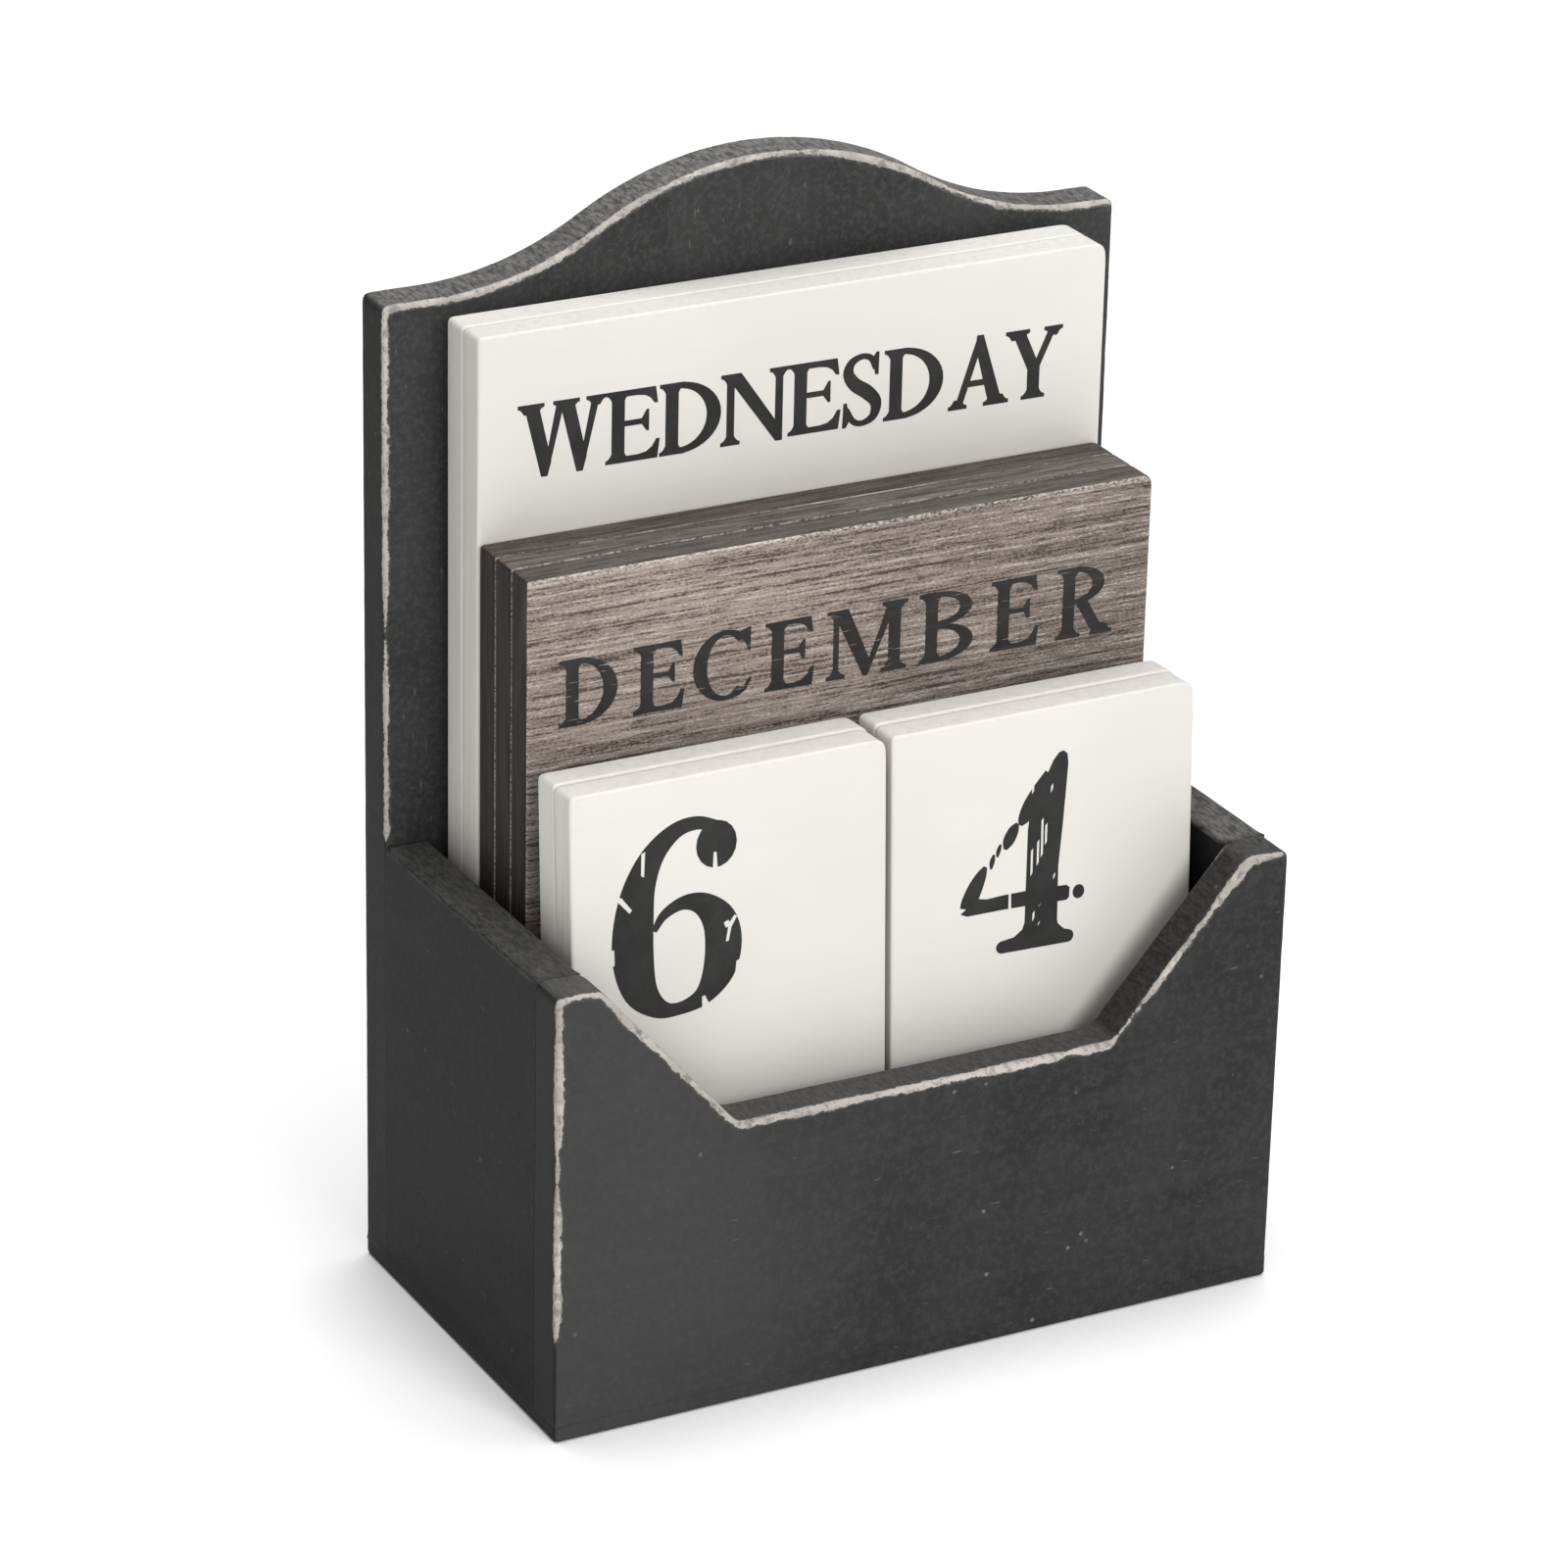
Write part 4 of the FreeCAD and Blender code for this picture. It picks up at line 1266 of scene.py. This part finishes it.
def ink_triangles(ink, chips):
    """Merges overlapping shapes and cuts the chips out; gives points and triangles."""
    points, faces = [], []
    for shape in ink + chips:
        turning = sum(a.x * b.y - b.x * a.y for a, b in zip(shape, shape[1:] + shape[:1]))
        faces.append(list(range(len(points), len(points) + len(shape))))
        points += shape if turning > 0 else list(reversed(shape))
    verts, _, tris, _, _, origins = delaunay_2d_cdt(points, [], faces, 0, 1e-5)
    kept = [tri for tri, origin in zip(tris, origins)
            if origin and min(origin) < len(ink) and max(origin) < len(ink)]
    return verts, kept


def add_film(mesh, verts, triangles, spot):
    """Adds a closed thin plate; spot(point, level) gives the place of its top or underside."""
    used = sorted({index for tri in triangles for index in tri})
    top = {i: mesh.verts.new(spot(verts[i], 1)) for i in used}
    under = {i: mesh.verts.new(spot(verts[i], 0)) for i in used}
    edges = {}
    for tri in triangles:
        mesh.faces.new([top[i] for i in tri])
        mesh.faces.new([under[i] for i in reversed(tri)])
        for a, b in zip(tri, tri[1:] + tri[:1]):
            edges[(a, b)] = edges.get((a, b), 0) + 1
    for a, b in edges:
        if (b, a) not in edges:
            mesh.faces.new((top[b], top[a], under[a], under[b]))


# How far right of a tile's middle its words stand, and how far they sink and swell towards their last letter
LETTER_PLACE = {"day": (-0.5, 0.67, 0.0), "month": (-0.65, 0.12, 0.10),
                "tens": (-10.1, 0.0, 0.0), "units": (-4.4, 0.0, 0.0)}
WIDEST = 1.035               # a short word's letters are stretched by no more than this
INK_ROOT = 0.25              # how deep the ink is rooted in its tile


class CALENDAR_OT_lettering(Operator):
    """Print the weekdays, the months and the figures, four to a tile"""
    bl_idname = "calendar.lettering"
    bl_label = "Printed lettering"

    # Each tile's words: top of its front, foot of its front, top of its rear, foot of its rear.
    words = {
        "day_tile_front": ("WEDNESDAY", "THURSDAY", "FRIDAY", "SATURDAY"),
        "day_tile_rear": ("SUNDAY", "MONDAY", "TUESDAY", ""),
        "month_tile_front": ("DECEMBER", "JANUARY", "FEBRUARY", "MARCH"),
        "month_tile_middle": ("APRIL", "MAY", "JUNE", "JULY"),
        "month_tile_rear": ("AUGUST", "SEPTEMBER", "OCTOBER", "NOVEMBER"),
        "tens_tile_front": ("6", "0", "1", "2"),
        "tens_tile_rear": ("3", "5", "7", "8"),
        "units_tile_front": ("4", "9", "0", "1"),
        "units_tile_rear": ("2", "3", "5", "8"),
    }

    def execute(self, context):
        sizes = context.scene.calendar_lettering
        ink = ink_material("black_ink", sizes.ink, False)
        month_ink = ink_material("month_ink", sizes.month_ink, True)
        for seed, (node, words) in enumerate(self.words.items()):
            if node in DAY_TILES:
                kind = (DAY_STYLE, sizes.day_height, sizes.day_drop, sizes.day_span, ink)
            elif node in MONTH_TILES:
                kind = (MONTH_STYLE, sizes.month_height, sizes.month_drop, sizes.month_span, month_ink)
            else:
                drop = sizes.digit_drop + (sizes.units_drop if node.startswith("units") else 0.0)
                kind = (FIGURE_STYLE, sizes.digit_height, drop, sizes.digit_height, ink)
            self.print_tile(node, words, kind, LETTER_PLACE[node.split("_")[0]], sizes.film / MM, seed)
        return {"FINISHED"}

    def print_tile(self, node, words, kind, where, film, seed):
        style, height, drop, span, material = kind
        shift, sink, swell = where
        height, drop, span = height / MM, drop / MM, span / MM
        place, left, right, foot, top = tile_place(node)
        source = random.Random(seed)
        mesh = bmesh.new()
        for number, word in enumerate(words):
            if not word:
                continue
            ink, chips, width = drawn_word(word, style, source)
            scale = min(height * WIDEST, span / width)
            upside_down, behind = number % 2 == 1, number >= 2

            def spot(point, level):
                u = (left + right) / 2 + shift + (point.x - width / 2) * scale
                along = point.x / width
                v = top - drop - height / 2 - sink * along + (point.y - 0.5) * height * (1 + swell * along)
                if upside_down:
                    u, v = left + right - u, foot + top - v
                if behind:
                    u = left + right - u
                w = -film if level else INK_ROOT
                if behind:
                    w = TILE_THICKNESS - w
                return place(u * MM, v * MM, w * MM)

            verts, triangles = ink_triangles(ink, chips)
            add_film(mesh, verts, triangles, spot)
        piece = to_object(mesh, node + "_lettering")
        piece.data.polygons.foreach_set("use_smooth", [False] * len(piece.data.polygons))
        piece.data.materials.append(material)
        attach(piece, node)


# --------------------------------------------------------------------------
# Stage
# --------------------------------------------------------------------------
LAMPS = (                    # name, place, target, width and power
    ("key_lamp", (0.25, -1.70, 1.05), (0.0, 0.0, 0.08), 0.95, 20.0),
    ("fill_lamp", (-0.75, -1.7, 0.38), (0.0, 0.0, 0.08), 1.2, 7.5),
    ("top_lamp", (0.1, 0.2, 1.8), (0.0, 0.0, 0.1), 1.9, 33.0),
)
SKY_STRENGTH = 0.34
CAMERA_CLIP = (0.05, 50.0)


def aim(thing, target, roll=0.0):
    """Turns a camera or lamp at a point, then about its own view."""
    forward = (Vector(target) - thing.location).normalized()
    turn = forward.to_track_quat("-Z", "Y").to_matrix() @ Matrix.Rotation(roll, 3, "Z")
    thing.rotation_mode = "QUATERNION"
    thing.rotation_quaternion = turn.to_quaternion()


class CALENDAR_OT_stage(Operator):
    """Lay the pale floor, hang the soft lamps and stand the camera"""
    bl_idname = "calendar.stage"
    bl_label = "Stage"

    def execute(self, context):
        stage = context.scene.calendar_stage
        self.floor(stage)
        self.lamps()
        self.sky(context.scene)
        data = bpy.data.cameras.new("calendar_camera")
        data.sensor_width, data.lens = 36.0, stage.lens
        data.clip_start, data.clip_end = CAMERA_CLIP
        camera = bpy.data.objects.new("calendar_camera", data)
        camera.location = stage.camera_place
        context.collection.objects.link(camera)
        aim(camera, stage.camera_aim, stage.camera_roll)
        context.scene.camera = camera
        return {"FINISHED"}

    def floor(self, stage):
        half = stage.floor_size / 2
        mesh = bmesh.new()
        mesh.faces.new([mesh.verts.new((x * half, y * half, 0.0)) for x, y in
                        ((-1, -1), (1, -1), (1, 1), (-1, 1))])
        floor = to_object(mesh, "floor")
        r = Recipe("floor")
        tone = r.blend(r.noise(3.0), tinted(stage.floor, 0.995), tinted(stage.floor, 1.005))
        floor.data.materials.append(r.finish(tone, 0.85, specular=0.2))

    def lamps(self):
        for name, place, target, size, power in LAMPS:
            data = bpy.data.lights.new(name, "AREA")
            data.shape, data.size, data.energy = "DISK", size, power
            lamp = bpy.data.objects.new(name, data)
            lamp.location = place
            bpy.context.collection.objects.link(lamp)
            aim(lamp, target)

    def sky(self, scene):
        world = bpy.data.worlds.new("soft_white")
        world.use_nodes = True
        background = world.node_tree.nodes["Background"]
        background.inputs["Color"].default_value = (1.0, 1.0, 1.0, 1.0)
        background.inputs["Strength"].default_value = SKY_STRENGTH
        scene.world = world
        scene.view_settings.view_transform = "Standard"


STEPS = (CALENDAR_OT_boards, CALENDAR_OT_ivory_tiles, CALENDAR_OT_month_tiles, CALENDAR_OT_lettering,
         CALENDAR_OT_pins, CALENDAR_OT_stage)


class CALENDAR_PT_sidebar(Panel):
    """The steps that finish the calendar, in order"""
    bl_idname = "CALENDAR_PT_sidebar"
    bl_label = "Flip desk calendar"
    bl_space_type = "VIEW_3D"
    bl_region_type = "UI"
    bl_category = "Calendar"

    def draw(self, context):
        for step in STEPS:
            self.layout.operator(step.bl_idname)


GROUPS = {"calendar_boards": CALENDAR_PG_boards, "calendar_tiles": CALENDAR_PG_tiles,
          "calendar_lettering": CALENDAR_PG_lettering, "calendar_stage": CALENDAR_PG_stage}


def register():
    for name, group in GROUPS.items():
        bpy.utils.register_class(group)
        setattr(bpy.types.Scene, name, PointerProperty(type=group))
    for step in STEPS:
        bpy.utils.register_class(step)
    bpy.utils.register_class(CALENDAR_PT_sidebar)


def unregister():
    bpy.utils.unregister_class(CALENDAR_PT_sidebar)
    for step in reversed(STEPS):
        bpy.utils.unregister_class(step)
    for name, group in reversed(GROUPS.items()):
        delattr(bpy.types.Scene, name)
        bpy.utils.unregister_class(group)


def main():
    register()
    for step in STEPS:
        area, action = step.bl_idname.split(".")
        getattr(getattr(bpy.ops, area), action)()


if __name__ == "__main__":
    main()
